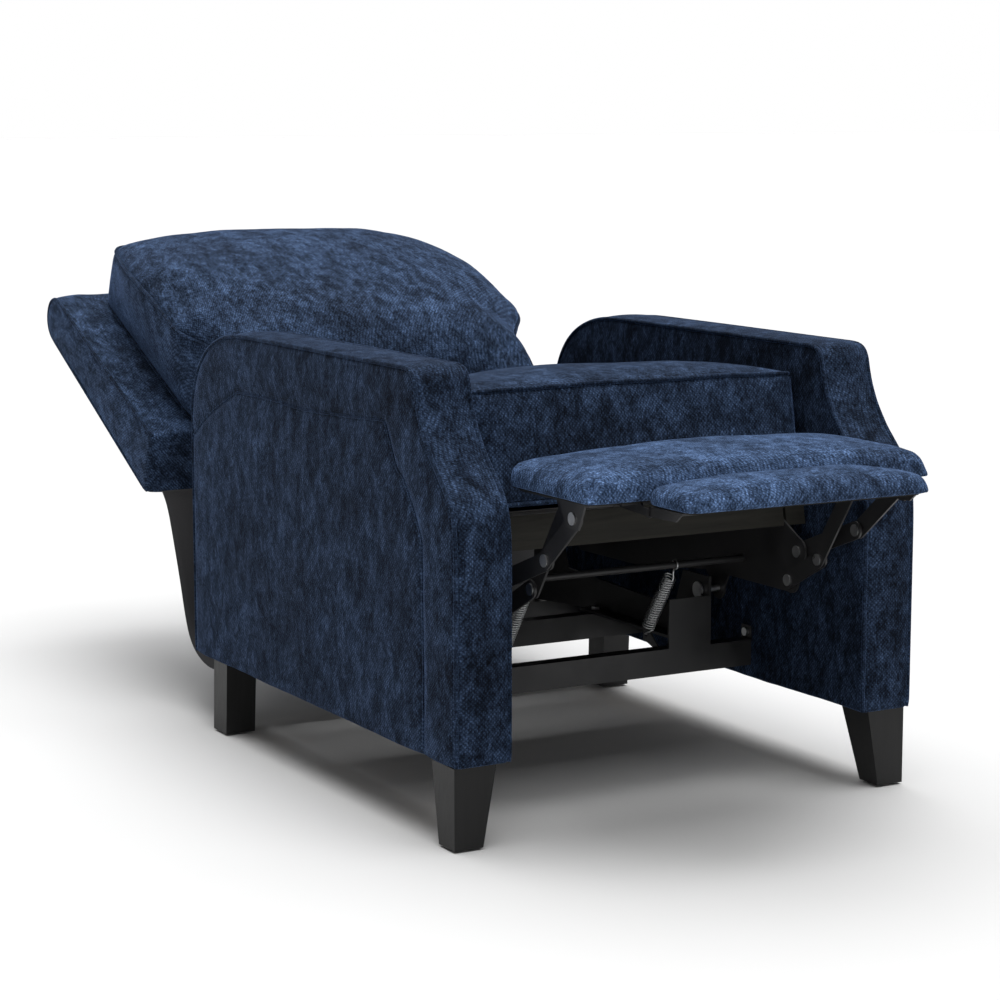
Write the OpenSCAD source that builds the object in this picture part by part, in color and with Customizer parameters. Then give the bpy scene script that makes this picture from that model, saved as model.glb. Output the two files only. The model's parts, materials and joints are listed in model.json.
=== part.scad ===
/* [Overall] */
// Width over the outer faces of the arms
overall_w = 700; // [680:5:760]
// Height of the legs, glides included
leg_h = 108; // [95:1:125]
// Height of the arm tops above the floor
arm_h = 597; // [585:1:615]
// Thickness of one arm
arm_t = 78; // [70:1:86]

/* [Seat] */
// Length of the seat cushion from front to back
seat_len = 530; // [500:5:535]
// Thickness of the seat cushion at its welts
seat_thick = 154; // [140:1:160]
// Height of the seat cushion's crown above its welts
seat_crown = 28; // [8:2:36]
// Slope of the seat when the chair is reclined
seat_slope = 11; // [9:0.5:13]
// Gap between the seat cushion and each arm
side_gap = 5; // [4:0.5:12]

/* [Back] */
// Slope of the back when the chair is reclined
back_slope = 24; // [22:0.5:26]
// Length of the padded outer back
outer_back_len = 448; // [430:2:460]
// Thickness of the outer back at its top end
back_top_t = 70; // [60:1:76]
// Thickness of the outer back at its bottom end
back_bottom_t = 96; // [86:1:100]
// Thickness of the back cushion at its welts
back_cushion_t = 98; // [85:1:108]
// Height of the back cushion's crown above its welts
back_crown = 68; // [20:2:80]

/* [Footrest] */
// Width of the main footrest pad
pad_w = 512; // [490:2:520]
// Depth of the main footrest pad
pad_d = 195; // [180:1:200]
// Width of the flipper pad
flipper_w = 356; // [330:2:360]
// Depth of the flipper pad
flipper_d = 92; // [80:1:96]

/* [Steelwork] */
// Thickness of the link bars
bar_t = 3; // [2.5:0.1:3]
// Height of the cross rails
rail_h = 37; // [30:1:40]
// Diameter of the rear pivot shaft
shaft_d = 16; // [14:1:18]

/* [Hidden] */
$fn = 48;

// Colours
fabric = "#26385c";
black_paint = "#17171a";
black_cloth = "#101012";
timber = "#b9925f";
zinc = "#b8bcc2";
foam_board = "#8c7a5e";

// The layout below is drawn with y = 0 at the front faces of the front legs. Each part is then
// moved so that the origin lies below the middle of the reclined chair.
flipper_y = -262;
back_y = 983.5;
back_z = 414.5;
nose_r = back_top_t / 2;
back_end_y = back_y + outer_back_len * cos(back_slope) + nose_r * sin(back_slope) + nose_r;
mid_y = (flipper_y + back_end_y) / 2;

// Running gap between a pin and its hole, on the radius
fit_gap = 0.05;

// Arms
half_w = overall_w / 2;
arm_in = half_w - arm_t;
arm_rear = 811;
arm_front = -8;
core_t = 36;
core_inset = 18;

// Legs
leg_foot = 41;
leg_head = 60;
leg_side_gap = 2;
rear_leg_y = 700;
rear_leg_w = 47;
rear_leg_splay = 6;
glide_h = 3;
glide_r = 11;
leg_bolt_r = 4;

// Rails: distance from the front and height of the lower face
rail_t = 24;
rail_wall = 2;
rail_flange_t = 3;
rail_flange_h = 56;
front_rail_y = 251;
middle_rail_y = 522;
rear_rail_y = 716;
rail_z = leg_h + 20;
rear_rail_z = leg_h + 5;
rail_bolt_r = 3;

// Pivot of the seat and of the back
shaft_y = 715;
shaft_z = 330;
shaft_r = shaft_d / 2;
shaft_half = 238;

// Base plates
plate_t = 4;
base_x = 196;
base_z = rail_z + rail_h;
base_rear_y = 742;
brace_y = front_rail_y;
brace_w = 66;
brace_h = 70;
roller_y = 275;
roller_z = 240;
roller_r = 9;
slot_gap = 0.3;
seat_travel = 7;
base_bolt_y = [front_rail_y + rail_t / 2, middle_rail_y + rail_t / 2];

// Lateral layers of the linkage: inner face of each flat bar, from the middle outwards
layer_pitch = 5.2;
layer_0 = 212;
function layer(i) = layer_0 + i * layer_pitch;
shoulder_t = layer_pitch - bar_t;
head_t = 1.7;
head_gap = 0.1;

// Link pivots in the extended position, as [y, z]
pivot_a = [87, 320];
pivot_b = [100, 279];
pivot_h = [-35, 366];
pivot_g = [26, 319];
pivot_e = [-111, 429];
pivot_f = [-47, 429];
link_w = 24;
rivet_r = 4;
rivet_head_r = 8;
pivot_bolt_r = 5;

// Seat: its own axes start at the lower front edge of the cushion
seat_y = 114;
seat_z = 409;
seat_half = arm_in - side_gap;
rail_top = -11;
seat_rail_h = 45;
seat_rail_t = 31;
seat_rail_in = layer(3) + bar_t + 0.4;
seat_frame_back = seat_len - 14;
seat_rake = 14;
cushion_r = 14;

// Spring cross bar and return springs
bar_y = 215;
bar_z = 292;
bar_r = 5;
spring_x = 115;
anchor_y = 292;
anchor_z = 180;
coil_r = 8.5;
wire_r = 1.1;
coil_turns = 18;
hook_len = 16;

// Footrest
board_t = 12;
pad_z = 450;
pad_top = 496;
pad_front = -164;
board_in = 6;
flipper_z = 447;
flipper_top = 481;
flipper_board_t = 10;
hinge_y = -167;
hinge_z = 440;
hinge_pin_r = 3;
hinge_x = 171;
bracket_plate_t = 3;

// Back: its own axes start at the lower front edge of the outer back
outer_back_half = 345;
back_half = 268;
cushion_low = -255;
cushion_high = outer_back_len - 6;
stile_in = 212;
stile_t = 44;
stile_low = -240;
stile_high = 420;
stile_front = -12;
stile_rear = -50;
bracket_t = 4;
bracket_x = 208;
bolt_r = 4;
cavity_gap = 0.5;

// ---------- Helpers ----------

module shift() {
    translate([0, -mid_y, 0]) children();
}

// Draws a part given for the right side on side s, where -1 is the left side
module on_side(s) {
    mirror([s < 0 ? 1 : 0, 0, 0]) children();
}

// Extrudes a [y, z] outline along x from x0 by t
module slab(x0, t) {
    translate([x0, 0, 0]) rotate([90, 0, 90]) linear_extrude(height = t) children();
}

// Cylinder along x
module x_rod(x0, len, r, p) {
    translate([x0, p[0], p[1]]) rotate([0, 90, 0]) cylinder(r = r, h = len);
}

module z_rod(x, y, z0, len, r) {
    translate([x, y, z0]) cylinder(r = r, h = len);
}

// Points of an arc round c, from angle a0 to a1
function arc(c, r, a0, a1, n = 8) =
    [for (i = [0 : n]) let (a = a0 + (a1 - a0) * i / n) c + r * [cos(a), sin(a)]];

// Flat bar outline with round ends between two pivots
module bar_outline(p, q, w) {
    a = atan2(q[1] - p[1], q[0] - p[0]);
    polygon(concat(arc(p, w / 2, a + 90, a + 270, 16), arc(q, w / 2, a - 90, a + 90, 16)));
}

module hole_at(p, r) {
    translate(p) circle(r = r);
}

// Flat link in layer i with a hole at each pivot
module link(i, p, q, r_p, r_q) {
    slab(layer(i), bar_t) difference() {
        bar_outline(p, q, link_w);
        hole_at(p, r_p + fit_gap);
        hole_at(q, r_q + fit_gap);
    }
}

// Rivet through layers i and i + 1 with a head outside each and a shoulder between them
module link_rivet(i, p, r) {
    x0 = layer(i);
    x1 = layer(i + 1);
    x_rod(x0 - head_t, x1 + bar_t + 2 * head_t - x0, r, p);
    x_rod(x0 - head_t, head_t - head_gap, rivet_head_r, p);
    x_rod(x1 + bar_t + head_gap, head_t - head_gap, rivet_head_r, p);
    x_rod(x0 + bar_t + head_gap, shoulder_t - 2 * head_gap, rivet_head_r - 1, p);
}

// Round wire swept along points, with a direction off the wire given for each of them
module wire(pts, offs, r, sides) {
    n = len(pts);
    tangents = [for (i = [0 : n - 1])
        let (d = pts[min(i + 1, n - 1)] - pts[max(i - 1, 0)]) d / norm(d)];
    normals = [for (i = [0 : n - 1])
        let (d = offs[i] - (offs[i] * tangents[i]) * tangents[i]) d / norm(d)];
    rings = [for (i = [0 : n - 1])
        let (side = cross(tangents[i], normals[i]))
        for (j = [0 : sides - 1])
            pts[i] + r * (cos(360 * j / sides) * normals[i] + sin(360 * j / sides) * side)];
    walls = [for (i = [0 : n - 2]) for (j = [0 : sides - 1])
        let (a = i * sides + j, b = i * sides + (j + 1) % sides)
        each [[a, b, b + sides], [a, b + sides, a + sides]]];
    cap_0 = [for (j = [sides - 1 : -1 : 0]) j];
    cap_1 = [for (j = [0 : sides - 1]) (n - 1) * sides + j];
    polyhedron(points = rings, faces = concat([cap_0], walls, [cap_1]), convexity = 10);
}

// ---------- Arms ----------

// Side outline of an arm, drawn in by d on all sides
function arm_outline(d) = concat(
    [[arm_rear - d, leg_h], [arm_rear - d, 446]],
    [for (i = [1 : 7]) let (t = 90 * i / 8)
        [611 + (arm_rear - d - 611) * pow(cos(t), 0.83), 446 + (arm_h - d - 446) * pow(sin(t), 0.83)]],
    [[611, arm_h - d], [118 + d, arm_h - d]],
    arc([108 + d, arm_h - 10 - d], 10, 90, 180, 3),
    [[94 + d, 554], [82 + d, 526], [56 + d, 488], [8 + d, 440], [-3 + d, 417], [arm_front + d, 379],
     [arm_front + d, leg_h]]
);

module arm_core(s, gap) {
    x0 = arm_in + (arm_t - core_t) / 2 - gap;
    on_side(s) slab(x0, core_t + 2 * gap) polygon(arm_outline(core_inset - gap));
}

module arm_frame(s) {
    color(timber) shift() difference() {
        arm_core(s, 0);
        rail_bolt_holes(s);
        leg_bolt_holes(s);
    }
}

module arm_cover(s) {
    color(fabric) shift() difference() {
        on_side(s) slab(arm_in, arm_t) polygon(arm_outline(0));
        arm_core(s, 0.05);
        translate([0, 0, -0.2]) arm_core(s, 0.05);
        rail_bolt_holes(s);
    }
}

// ---------- Legs ----------

// Tapered leg: its outer and front faces stay upright
module tapered_leg(s, y0, foot, head, splay) {
    x1 = half_w - leg_side_gap;
    on_side(s) intersection() {
        translate([0, y0 + head + splay, 0]) rotate([90, 0, 0]) linear_extrude(height = head + splay)
            polygon([[x1 - foot, glide_h], [x1, glide_h], [x1, leg_h], [x1 - head, leg_h]]);
        slab(x1 - head, head) polygon([[y0 + splay, glide_h], [y0 + splay + foot, glide_h],
            [y0 + head, leg_h], [y0, leg_h]]);
    }
}

function leg_axis_y(front) = front ? leg_foot / 2 + 4 : rear_leg_y + rear_leg_w / 2 + 2;
leg_axis_x = arm_in + arm_t / 2;

module front_leg(s) {
    color(black_paint) shift() difference() {
        tapered_leg(s, 0, leg_foot, leg_head, 0);
        leg_bolt_holes(s);
    }
}

module rear_leg(s) {
    color(black_paint) shift() difference() {
        tapered_leg(s, rear_leg_y, rear_leg_w - 1, rear_leg_w, rear_leg_splay);
        leg_bolt_holes(s);
    }
}

leg_bolt_low = 62;
leg_bolt_top = 152;

module leg_bolt_holes(s) {
    for (front = [true, false])
        z_rod(s * leg_axis_x, leg_axis_y(front), leg_bolt_low - 0.2,
            leg_bolt_top - leg_bolt_low + 0.4, leg_bolt_r + fit_gap);
}

module leg_bolts() {
    color(zinc) shift() for (s = [-1, 1], front = [true, false])
        z_rod(s * leg_axis_x, leg_axis_y(front), leg_bolt_low, leg_bolt_top - leg_bolt_low, leg_bolt_r);
}

module leg_glides() {
    foot_x = half_w - leg_side_gap - leg_foot / 2;
    color(black_cloth) shift() for (s = [-1, 1]) {
        z_rod(s * foot_x, leg_foot / 2, 0, glide_h, glide_r);
        z_rod(s * foot_x, rear_leg_y + rear_leg_splay + rear_leg_w / 2, 0, glide_h, glide_r);
    }
}

// ---------- Cross rails ----------

rail_places = [[front_rail_y, rail_z], [middle_rail_y, rail_z], [rear_rail_y, rear_rail_z]];
flange_up = rail_flange_h - rail_h;

function rail_bolt_places() = [for (p = rail_places)
    [p[0] + rail_t / 2, p[1] + rail_h + flange_up / 2]];

// Lug that holds the lower end of a return spring
module spring_lug(s) {
    on_side(s) slab(spring_x + 3, 2.5) difference() {
        polygon([[front_rail_y + 6, base_z - 1], [front_rail_y + 22, base_z - 1],
            [anchor_y + 8, anchor_z - 8], [anchor_y + 8, anchor_z + 7], [anchor_y - 6, anchor_z + 7]]);
        hole_at([anchor_y, anchor_z], 3);
    }
}

module cross_rail(p, drilled) {
    inner = arm_in - rail_flange_t;
    color(black_paint) shift() difference() {
        union() {
            difference() {
                translate([-inner, p[0], p[1]]) cube([2 * inner, rail_t, rail_h]);
                translate([-inner - 1, p[0] + rail_wall, p[1] + rail_wall])
                    cube([2 * inner + 2, rail_t - 2 * rail_wall, rail_h - 2 * rail_wall]);
            }
            for (s = [-1, 1]) on_side(s)
                translate([inner, p[0], p[1]]) cube([rail_flange_t, rail_t, rail_flange_h]);
            if (p[0] == front_rail_y) for (s = [-1, 1]) spring_lug(s);
        }
        for (s = [-1, 1]) rail_bolt_holes(s);
        if (drilled) base_bolt_holes();
    }
}

module rail_bolt_holes(s) {
    on_side(s) for (p = rail_bolt_places())
        x_rod(arm_in - 8, 45, rail_bolt_r + fit_gap, p);
}

module rail_bolts() {
    color(zinc) shift() for (s = [-1, 1]) on_side(s) for (p = rail_bolt_places()) {
        x_rod(arm_in - rail_flange_t, 38, rail_bolt_r, p);
        x_rod(arm_in - rail_flange_t - 4, 4, rail_bolt_r + 3, p);
    }
}

// ---------- Base plates ----------

travel_r = norm([shaft_y - roller_y, shaft_z - roller_z]);
roller_angle = atan2(roller_z - shaft_z, roller_y - shaft_y);

function about_shaft(a) = [shaft_y, shaft_z] + travel_r * [cos(roller_angle + a), sin(roller_angle + a)];

// Curved slot for the guide roller, centred on the shaft
module guide_slot() {
    w = roller_r + slot_gap;
    shaft = [shaft_y, shaft_z];
    intersection() {
        difference() {
            translate(shaft) circle(r = travel_r + w, $fn = 360);
            translate(shaft) circle(r = travel_r - w, $fn = 360);
        }
        polygon(concat([shaft], [for (a = [0, seat_travel]) 2 * about_shaft(a) - shaft]));
    }
    for (a = [0, seat_travel]) translate(about_shaft(a)) circle(r = w);
}

module base_plate_outline() {
    difference() {
        polygon([[brace_y, base_z], [middle_rail_y + rail_t, base_z], [base_rear_y, rear_rail_z + rail_h],
            [base_rear_y, 330], [base_rear_y - 8, 348], [shaft_y - 14, 348], [shaft_y - 24, 330],
            [640, 215], [340, 205], [318, 262], [brace_y, 262]]);
        guide_slot();
        hole_at([shaft_y, shaft_z], shaft_r + fit_gap);
    }
}

module base_plate(s) {
    color(black_paint) shift() on_side(s) difference() {
        union() {
            slab(base_x, plate_t) base_plate_outline();
            translate([base_x - 26, front_rail_y, base_z]) cube([26, 310, plate_t]);
            translate([base_x - brace_w, brace_y, base_z]) cube([brace_w, plate_t, brace_h]);
        }
        base_bolt_holes();
    }
}

module base_bolt_holes() {
    for (s = [-1, 1], y = base_bolt_y)
        z_rod(s * (base_x - 14), y, base_z - 6, 20, bolt_r + fit_gap);
}

module base_plate_bolts() {
    color(zinc) shift() for (s = [-1, 1], y = base_bolt_y) {
        z_rod(s * (base_x - 14), y, base_z - 6, 11, bolt_r);
        translate([s * (base_x - 14), y, base_z + plate_t]) cylinder(r = 7, h = 5, $fn = 6);
    }
}

module pivot_shaft() {
    color(zinc) shift() union() {
        x_rod(-shaft_half, 2 * shaft_half, shaft_r, [shaft_y, shaft_z]);
        for (s = [-1, 1]) on_side(s)
            x_rod(shaft_half - 4, 4, shaft_r + 4, [shaft_y, shaft_z]);
    }
}

// ---------- Dust cloth and return springs ----------

cloth_half = 314;
cloth_t = 2;
cloth_line = [[1004, 310], [982, 262], [958, 200], [944, 150], [922, 108], [880, 82], [825, 76],
    [775, 92], [750, 105]];

module dust_cloth() {
    n = len(cloth_line);
    normals = [for (i = [0 : n - 1])
        let (d = cloth_line[min(i + 1, n - 1)] - cloth_line[max(i - 1, 0)]) [d[1], -d[0]] / norm(d)];
    outer = [for (i = [0 : n - 1]) cloth_line[i] - cloth_t * normals[i]];
    inner = [for (i = [n - 1 : -1 : 0]) cloth_line[i]];
    color(black_cloth) shift() slab(-cloth_half, 2 * cloth_half) polygon(concat(outer, inner));
}

// Coil as one wire: its lower end goes sideways into a lug, its upper end hooks round the cross bar
module return_spring(s) {
    x = s * spring_x;
    low = [anchor_y, anchor_z];
    span = norm([bar_y, bar_z] - low);
    dir = ([bar_y, bar_z] - low) / span;
    side = [-dir[1], dir[0]];
    ring_r = bar_r + wire_r + 0.4;
    coil_len = span - ring_r - 2 * hook_len;
    steps = 8;
    n = coil_turns * steps;
    function off(a) = [sin(a), cos(a) * side[0], cos(a) * side[1]];
    function place(d, r, a) = [x, low[0] + d * dir[0], low[1] + d * dir[1]] + r * off(a);
    start = [[x + s * 7, low[0], low[1]], [x + s * 1.5, low[0], low[1]]];
    tail = [place(3, 1, 0), place(0.6 * hook_len, coil_r, 0)];
    coil = [for (i = [0 : n]) place(hook_len + coil_len * i / n, coil_r, 360 * i / steps)];
    ring = [for (f = [15 : 25 : 290]) place(span - ring_r * cos(f), ring_r * sin(f), 0)];
    neck = place(hook_len + coil_len + 0.4 * hook_len, coil_r, 0);
    wire(concat(start, tail, coil, [neck], ring),
        concat([for (p = concat(start, tail)) off(0)], [for (i = [0 : n]) off(360 * i / steps)],
            [for (p = concat([neck], ring)) [1, 0, 0]]),
        wire_r, 5);
}

module return_springs() {
    color(zinc) shift() {
        for (s = [-1, 1]) return_spring(s);
    }
}

// ---------- Seat ----------

// Places a part drawn in the seat's own axes: y along the seat, z square to it
module seat_axes() {
    shift() translate([0, seat_y, seat_z]) rotate([-seat_slope, 0, 0]) children();
}

module side_seat_rail(s) {
    color(timber) seat_axes() on_side(s)
        translate([seat_rail_in, 12, rail_top - seat_rail_h])
            cube([seat_rail_t, seat_frame_back - 12, seat_rail_h]);
}

module front_seat_rail() {
    color(foam_board) seat_axes() translate([-seat_rail_in + 4, 12, rail_top - seat_rail_h])
        cube([2 * seat_rail_in - 8, 22, seat_rail_h]);
}

module rear_seat_rail() {
    color(timber) seat_axes() translate([-seat_rail_in + 4, seat_frame_back - 22, rail_top - seat_rail_h])
        cube([2 * seat_rail_in - 8, 22, seat_rail_h]);
}

sinuous_pitch = 40;
sinuous_half = 20;
sinuous_r = 1.8;

module sinuous_spring(x) {
    y0 = 36.5;
    y1 = seat_frame_back - 24.5;
    count = 2 * floor((y1 - y0) / sinuous_pitch);
    step = (y1 - y0) / count;
    bend = 2;
    zig = [for (i = [0 : count - 1], j = [0 : 2 * bend])
        let (t = j / (2 * bend), way = i % 2 == 0 ? 1 : -1)
        [x + way * sinuous_half * sin(180 * t), y0 + (i + t) * step, rail_top - 8]];
    wire(zig, [for (p = zig) [0, 0, 1]], sinuous_r, 5);
}

module seat_springs() {
    color(black_paint) seat_axes() for (i = [-2 : 2]) sinuous_spring(i * 84);
}

module seat_deck() {
    color(black_cloth) seat_axes() translate([-seat_half + 1, 6, rail_top + 0.2])
        cube([2 * seat_half - 2, seat_len - 12, 9]);
}

module seat_cushion() {
    r = cushion_r;
    color(fabric) seat_axes() slab(-seat_half, 2 * seat_half) polygon(concat(
        arc([r, r], r, 180, 270, 4),
        arc([seat_len - r, r], r, 270, 360, 4),
        arc([seat_len + seat_rake - 2 * r, seat_thick - 2 * r], 2 * r, 0, 90, 5),
        [for (i = [0 : 10]) let (a = 18 * i)
            [0.5 * seat_len + 0.44 * seat_len * cos(a), seat_thick + seat_crown * pow(sin(a), 0.8)]],
        arc([r, seat_thick - r], r, 90, 180, 4)));
}

// Steel side plate of the seat: from the link pivots to the shaft
module seat_plate(s) {
    roller = [roller_y, roller_z];
    shaft = [shaft_y, shaft_z];
    color(black_paint) shift() on_side(s) slab(layer(3), bar_t) difference() {
        polygon(concat(
            arc(pivot_a, 20, 250, 100),
            [[125, 362], [300, 326], [500, 288], [640, 282]],
            arc(shaft, 18, 150, -60, 12),
            [[655, 238], [480, 240], [306, 262]],
            arc(roller, 16, 20, -190, 12),
            [[250, 262], [118, 262]],
            arc(pivot_b, 18, -70, -170)));
        for (p = [pivot_a, pivot_b]) hole_at(p, pivot_bolt_r + fit_gap);
        for (p = [roller, [bar_y, bar_z]]) hole_at(p, bar_r + fit_gap);
        hole_at(shaft, shaft_r + fit_gap);
    }
}

module guide_rollers() {
    color(zinc) shift() for (s = [-1, 1]) on_side(s) {
        x_rod(base_x - 4, layer(3) + bar_t + 2 - base_x + 4, 5, [roller_y, roller_z]);
        x_rod(base_x - 1, plate_t + 2, roller_r, [roller_y, roller_z]);
        x_rod(base_x - 4, 2.5, roller_r + 3, [roller_y, roller_z]);
    }
}

module spring_crossbar() {
    end_x = layer(3) + bar_t + 2;
    color(black_paint) shift() x_rod(-end_x, 2 * end_x, bar_r, [bar_y, bar_z]);
}

module link_pivot_bolts() {
    color(zinc) shift() for (s = [-1, 1]) on_side(s) {
        link_rivet(2, pivot_b, pivot_bolt_r);
        link_rivet(3, pivot_a, pivot_bolt_r);
    }
}

// ---------- Footrest linkage ----------

module front_lower_link(s) {
    color(black_paint) shift() on_side(s) link(4, pivot_a, pivot_h, pivot_bolt_r, rivet_r);
}

module front_link_rivets() {
    color(zinc) shift() for (s = [-1, 1]) on_side(s) link_rivet(4, pivot_h, rivet_r);
}

module rear_lower_link(s) {
    color(black_paint) shift() on_side(s) link(2, pivot_b, pivot_g, pivot_bolt_r, rivet_r);
}

module rear_link_rivets() {
    color(zinc) shift() for (s = [-1, 1]) on_side(s) link_rivet(1, pivot_g, rivet_r);
}

module front_upper_link(s) {
    color(black_paint) shift() on_side(s) link(5, pivot_h, pivot_e, rivet_r, rivet_r);
}

// The upper end of this link is the open pivot: its boss stops short of the bracket
module rear_upper_link(s) {
    color(black_paint) shift() on_side(s) union() {
        link(1, pivot_g, pivot_f, rivet_r, 0);
        x_rod(layer(0) + bar_t + 0.4, shoulder_t - 0.4 + bar_t + head_t, rivet_r, pivot_f);
        x_rod(layer(0) + bar_t + 0.4, shoulder_t - 0.4, rivet_head_r - 1, pivot_f);
        x_rod(layer(1) + bar_t, head_t, rivet_head_r, pivot_f);
    }
}

// ---------- Footrest ----------

bracket_y0 = -150;
bracket_y1 = 16;

module footrest_bracket(s) {
    top = pad_z;
    low = pivot_e[1] - 13;
    color(black_paint) shift() on_side(s) difference() {
        union() {
            translate([layer(0), bracket_y0, top - bracket_plate_t])
                cube([layer(6) + bar_t - layer(0), bracket_y1 - bracket_y0, bracket_plate_t]);
            slab(layer(6), bar_t) polygon([[-140, top - 1], [-124, low], [-98, low], [-78, top - 1]]);
            slab(layer(0), bar_t) polygon([[-76, top - 1], [-60, low], [-34, low], [-14, top - 1]]);
        }
        x_rod(layer(6) - 1, bar_t + 2, rivet_r + fit_gap, pivot_e);
    }
}

module bracket_rivets() {
    color(zinc) shift() for (s = [-1, 1]) on_side(s) link_rivet(5, pivot_e, rivet_r);
}

module rounded_board(half, y0, y1, z0, t, r) {
    translate([0, 0, z0]) linear_extrude(height = t) polygon(concat(
        arc([half - r, y0 + r], r, -90, 0, 4), [[half, y1], [-half, y1]],
        arc([-half + r, y0 + r], r, 180, 270, 4)));
}

pad_corner_r = 30;
flipper_corner_r = 24;
board_gap = 0.1;

// Outline of the main pad, drawn in by d on all sides, from z0 up by t
module main_block(d, z0, t) {
    rounded_board(pad_w / 2 - d, pad_front + d, pad_front + pad_d - d, z0, t, pad_corner_r - d);
}

module flipper_block(d, z0, t) {
    rounded_board(flipper_w / 2 - d, flipper_y + d, flipper_y + flipper_d - d, z0, t, flipper_corner_r - d);
}

module footrest_board() {
    color(foam_board) shift() main_block(board_in, pad_z, board_t);
}

module footrest_pad() {
    color(fabric) shift() difference() {
        main_block(0, pad_z, pad_top - pad_z);
        main_block(board_in - board_gap, pad_z - 1, board_t + 1 + board_gap);
    }
}

module flipper_board() {
    color(foam_board) shift() flipper_block(board_in, flipper_z, flipper_board_t);
}

module flipper_pad() {
    color(fabric) shift() difference() {
        flipper_block(0, flipper_z, flipper_top - flipper_z);
        flipper_block(board_in - board_gap, flipper_z - 1, flipper_board_t + 1 + board_gap);
    }
}

// Hinge leaf of the flipper, screwed below its board and turning on the pin
module flipper_hinges() {
    color(black_paint) shift() for (s = [-1, 1]) on_side(s) difference() {
        union() {
            translate([hinge_x - 34, -240, flipper_z - 3]) cube([37, 60, 3]);
            slab(hinge_x, 3) polygon([[-240, flipper_z - 1], [-176, flipper_z - 1],
                [hinge_y + 8, hinge_z + 3], [hinge_y + 8, hinge_z - 5], [hinge_y, hinge_z - 8],
                [hinge_y - 8, hinge_z - 6], [-226, flipper_z - 12]]);
        }
        x_rod(hinge_x - 1, 5, hinge_pin_r + fit_gap, [hinge_y, hinge_z]);
    }
}

// Fixed lugs under the main board with the hinge pins
module flipper_pins() {
    color(black_paint) shift() for (s = [-1, 1]) on_side(s) union() {
        slab(hinge_x + 4, 3) polygon([[hinge_y - 4.5, hinge_z - 4.5], [hinge_y + 4.5, hinge_z - 4.5],
            [-110, pad_z - 12], [-100, pad_z], [-154, pad_z], [-160, hinge_z + 5],
            [hinge_y - 4.5, hinge_z + 4.5]]);
        translate([hinge_x + 4, -154, pad_z - 3]) cube([28, 54, 3]);
        x_rod(hinge_x - 2, 7, hinge_pin_r, [hinge_y, hinge_z]);
        x_rod(hinge_x - 3, 2.8, hinge_pin_r + 2.5, [hinge_y, hinge_z]);
    }
}

// ---------- Back ----------

// Places a part drawn in the back's own axes: y up the back, z square to it
module back_axes() {
    shift() translate([0, back_y, back_z]) rotate([back_slope, 0, 0]) children();
}

// Shaft position in the back's own axes
function in_back(p) = let (d = p - [back_y, back_z])
    [d[0] * cos(back_slope) + d[1] * sin(back_slope), -d[0] * sin(back_slope) + d[1] * cos(back_slope)];
back_pivot = in_back([shaft_y, shaft_z]);

module back_cavity(gap) {
    translate([-stile_in - stile_t - gap, -40, stile_rear - gap])
        cube([2 * (stile_in + stile_t + gap), stile_high + 40 + gap, stile_front - stile_rear + 2 * gap]);
}

module back_cover() {
    color(fabric) back_axes() difference() {
        slab(-outer_back_half, 2 * outer_back_half) polygon(concat(
            [[0, 0]],
            arc([outer_back_len, -nose_r], nose_r, 90, -93, 12),
            [[-12, -back_bottom_t]]));
        back_cavity(cavity_gap);
    }
}

module back_stile(s) {
    color(timber) back_axes() on_side(s) difference() {
        translate([stile_in, stile_low, stile_rear])
            cube([stile_t, stile_high - stile_low, stile_front - stile_rear]);
        bracket_bolt_holes();
    }
}

module back_cross_rails() {
    color(timber) back_axes() for (y = [stile_low, -10, stile_high - 45]) {
        w = (y == stile_low ? bracket_x : stile_in) - 0.2;
        translate([-w, y, stile_rear]) cube([2 * w, 45, stile_front - stile_rear]);
    }
}

module lower_back_panel() {
    color(black_cloth) back_axes() translate([-stile_in - stile_t, stile_low, stile_rear - 4.2])
        cube([2 * (stile_in + stile_t), -stile_low - 16, 4]);
}

// The crown starts above the height at which the seat cushion passes when the back is upright
module back_cushion() {
    r = cushion_r;
    t = back_cushion_t;
    crown_low = -165;
    crown_mid = (crown_low + cushion_high - 4) / 2;
    crown_reach = crown_mid - crown_low;
    color(fabric) back_axes() slab(-back_half, 2 * back_half) polygon(concat(
        [[cushion_low + 4, 0.4], [cushion_high - 4, 0.4]],
        [for (i = [0 : 12]) let (a = 15 * i)
            [crown_mid + crown_reach * cos(a), t - 2 + (back_crown + 2) * pow(sin(a), 0.8)]],
        arc([cushion_low + 3 * r, t - 3 * r], 3 * r, 90, 180, 5)));
}

bracket_bolt_places = [[-186, -31], [-90, -31]];

module bracket_bolt_holes() {
    for (p = bracket_bolt_places) x_rod(bracket_x - 1, 32, rail_bolt_r + fit_gap, p);
}

// Steel bracket from the shaft to the stile, with its two bolts welded in
module back_bracket(s) {
    color(black_paint) back_axes() on_side(s) union() {
        slab(bracket_x, bracket_t - 0.2) difference() {
            polygon(concat(
                arc(back_pivot, 18, 20, 250, 12),
                [[-262, -46], [-60, -46], [-60, -14], [-252, -14]]));
            hole_at(back_pivot, shaft_r + fit_gap);
        }
        for (q = bracket_bolt_places) {
            x_rod(bracket_x + 1, 30, rail_bolt_r, q);
            x_rod(bracket_x - 3, 3.5, rail_bolt_r + 3, q);
        }
    }
}

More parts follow.
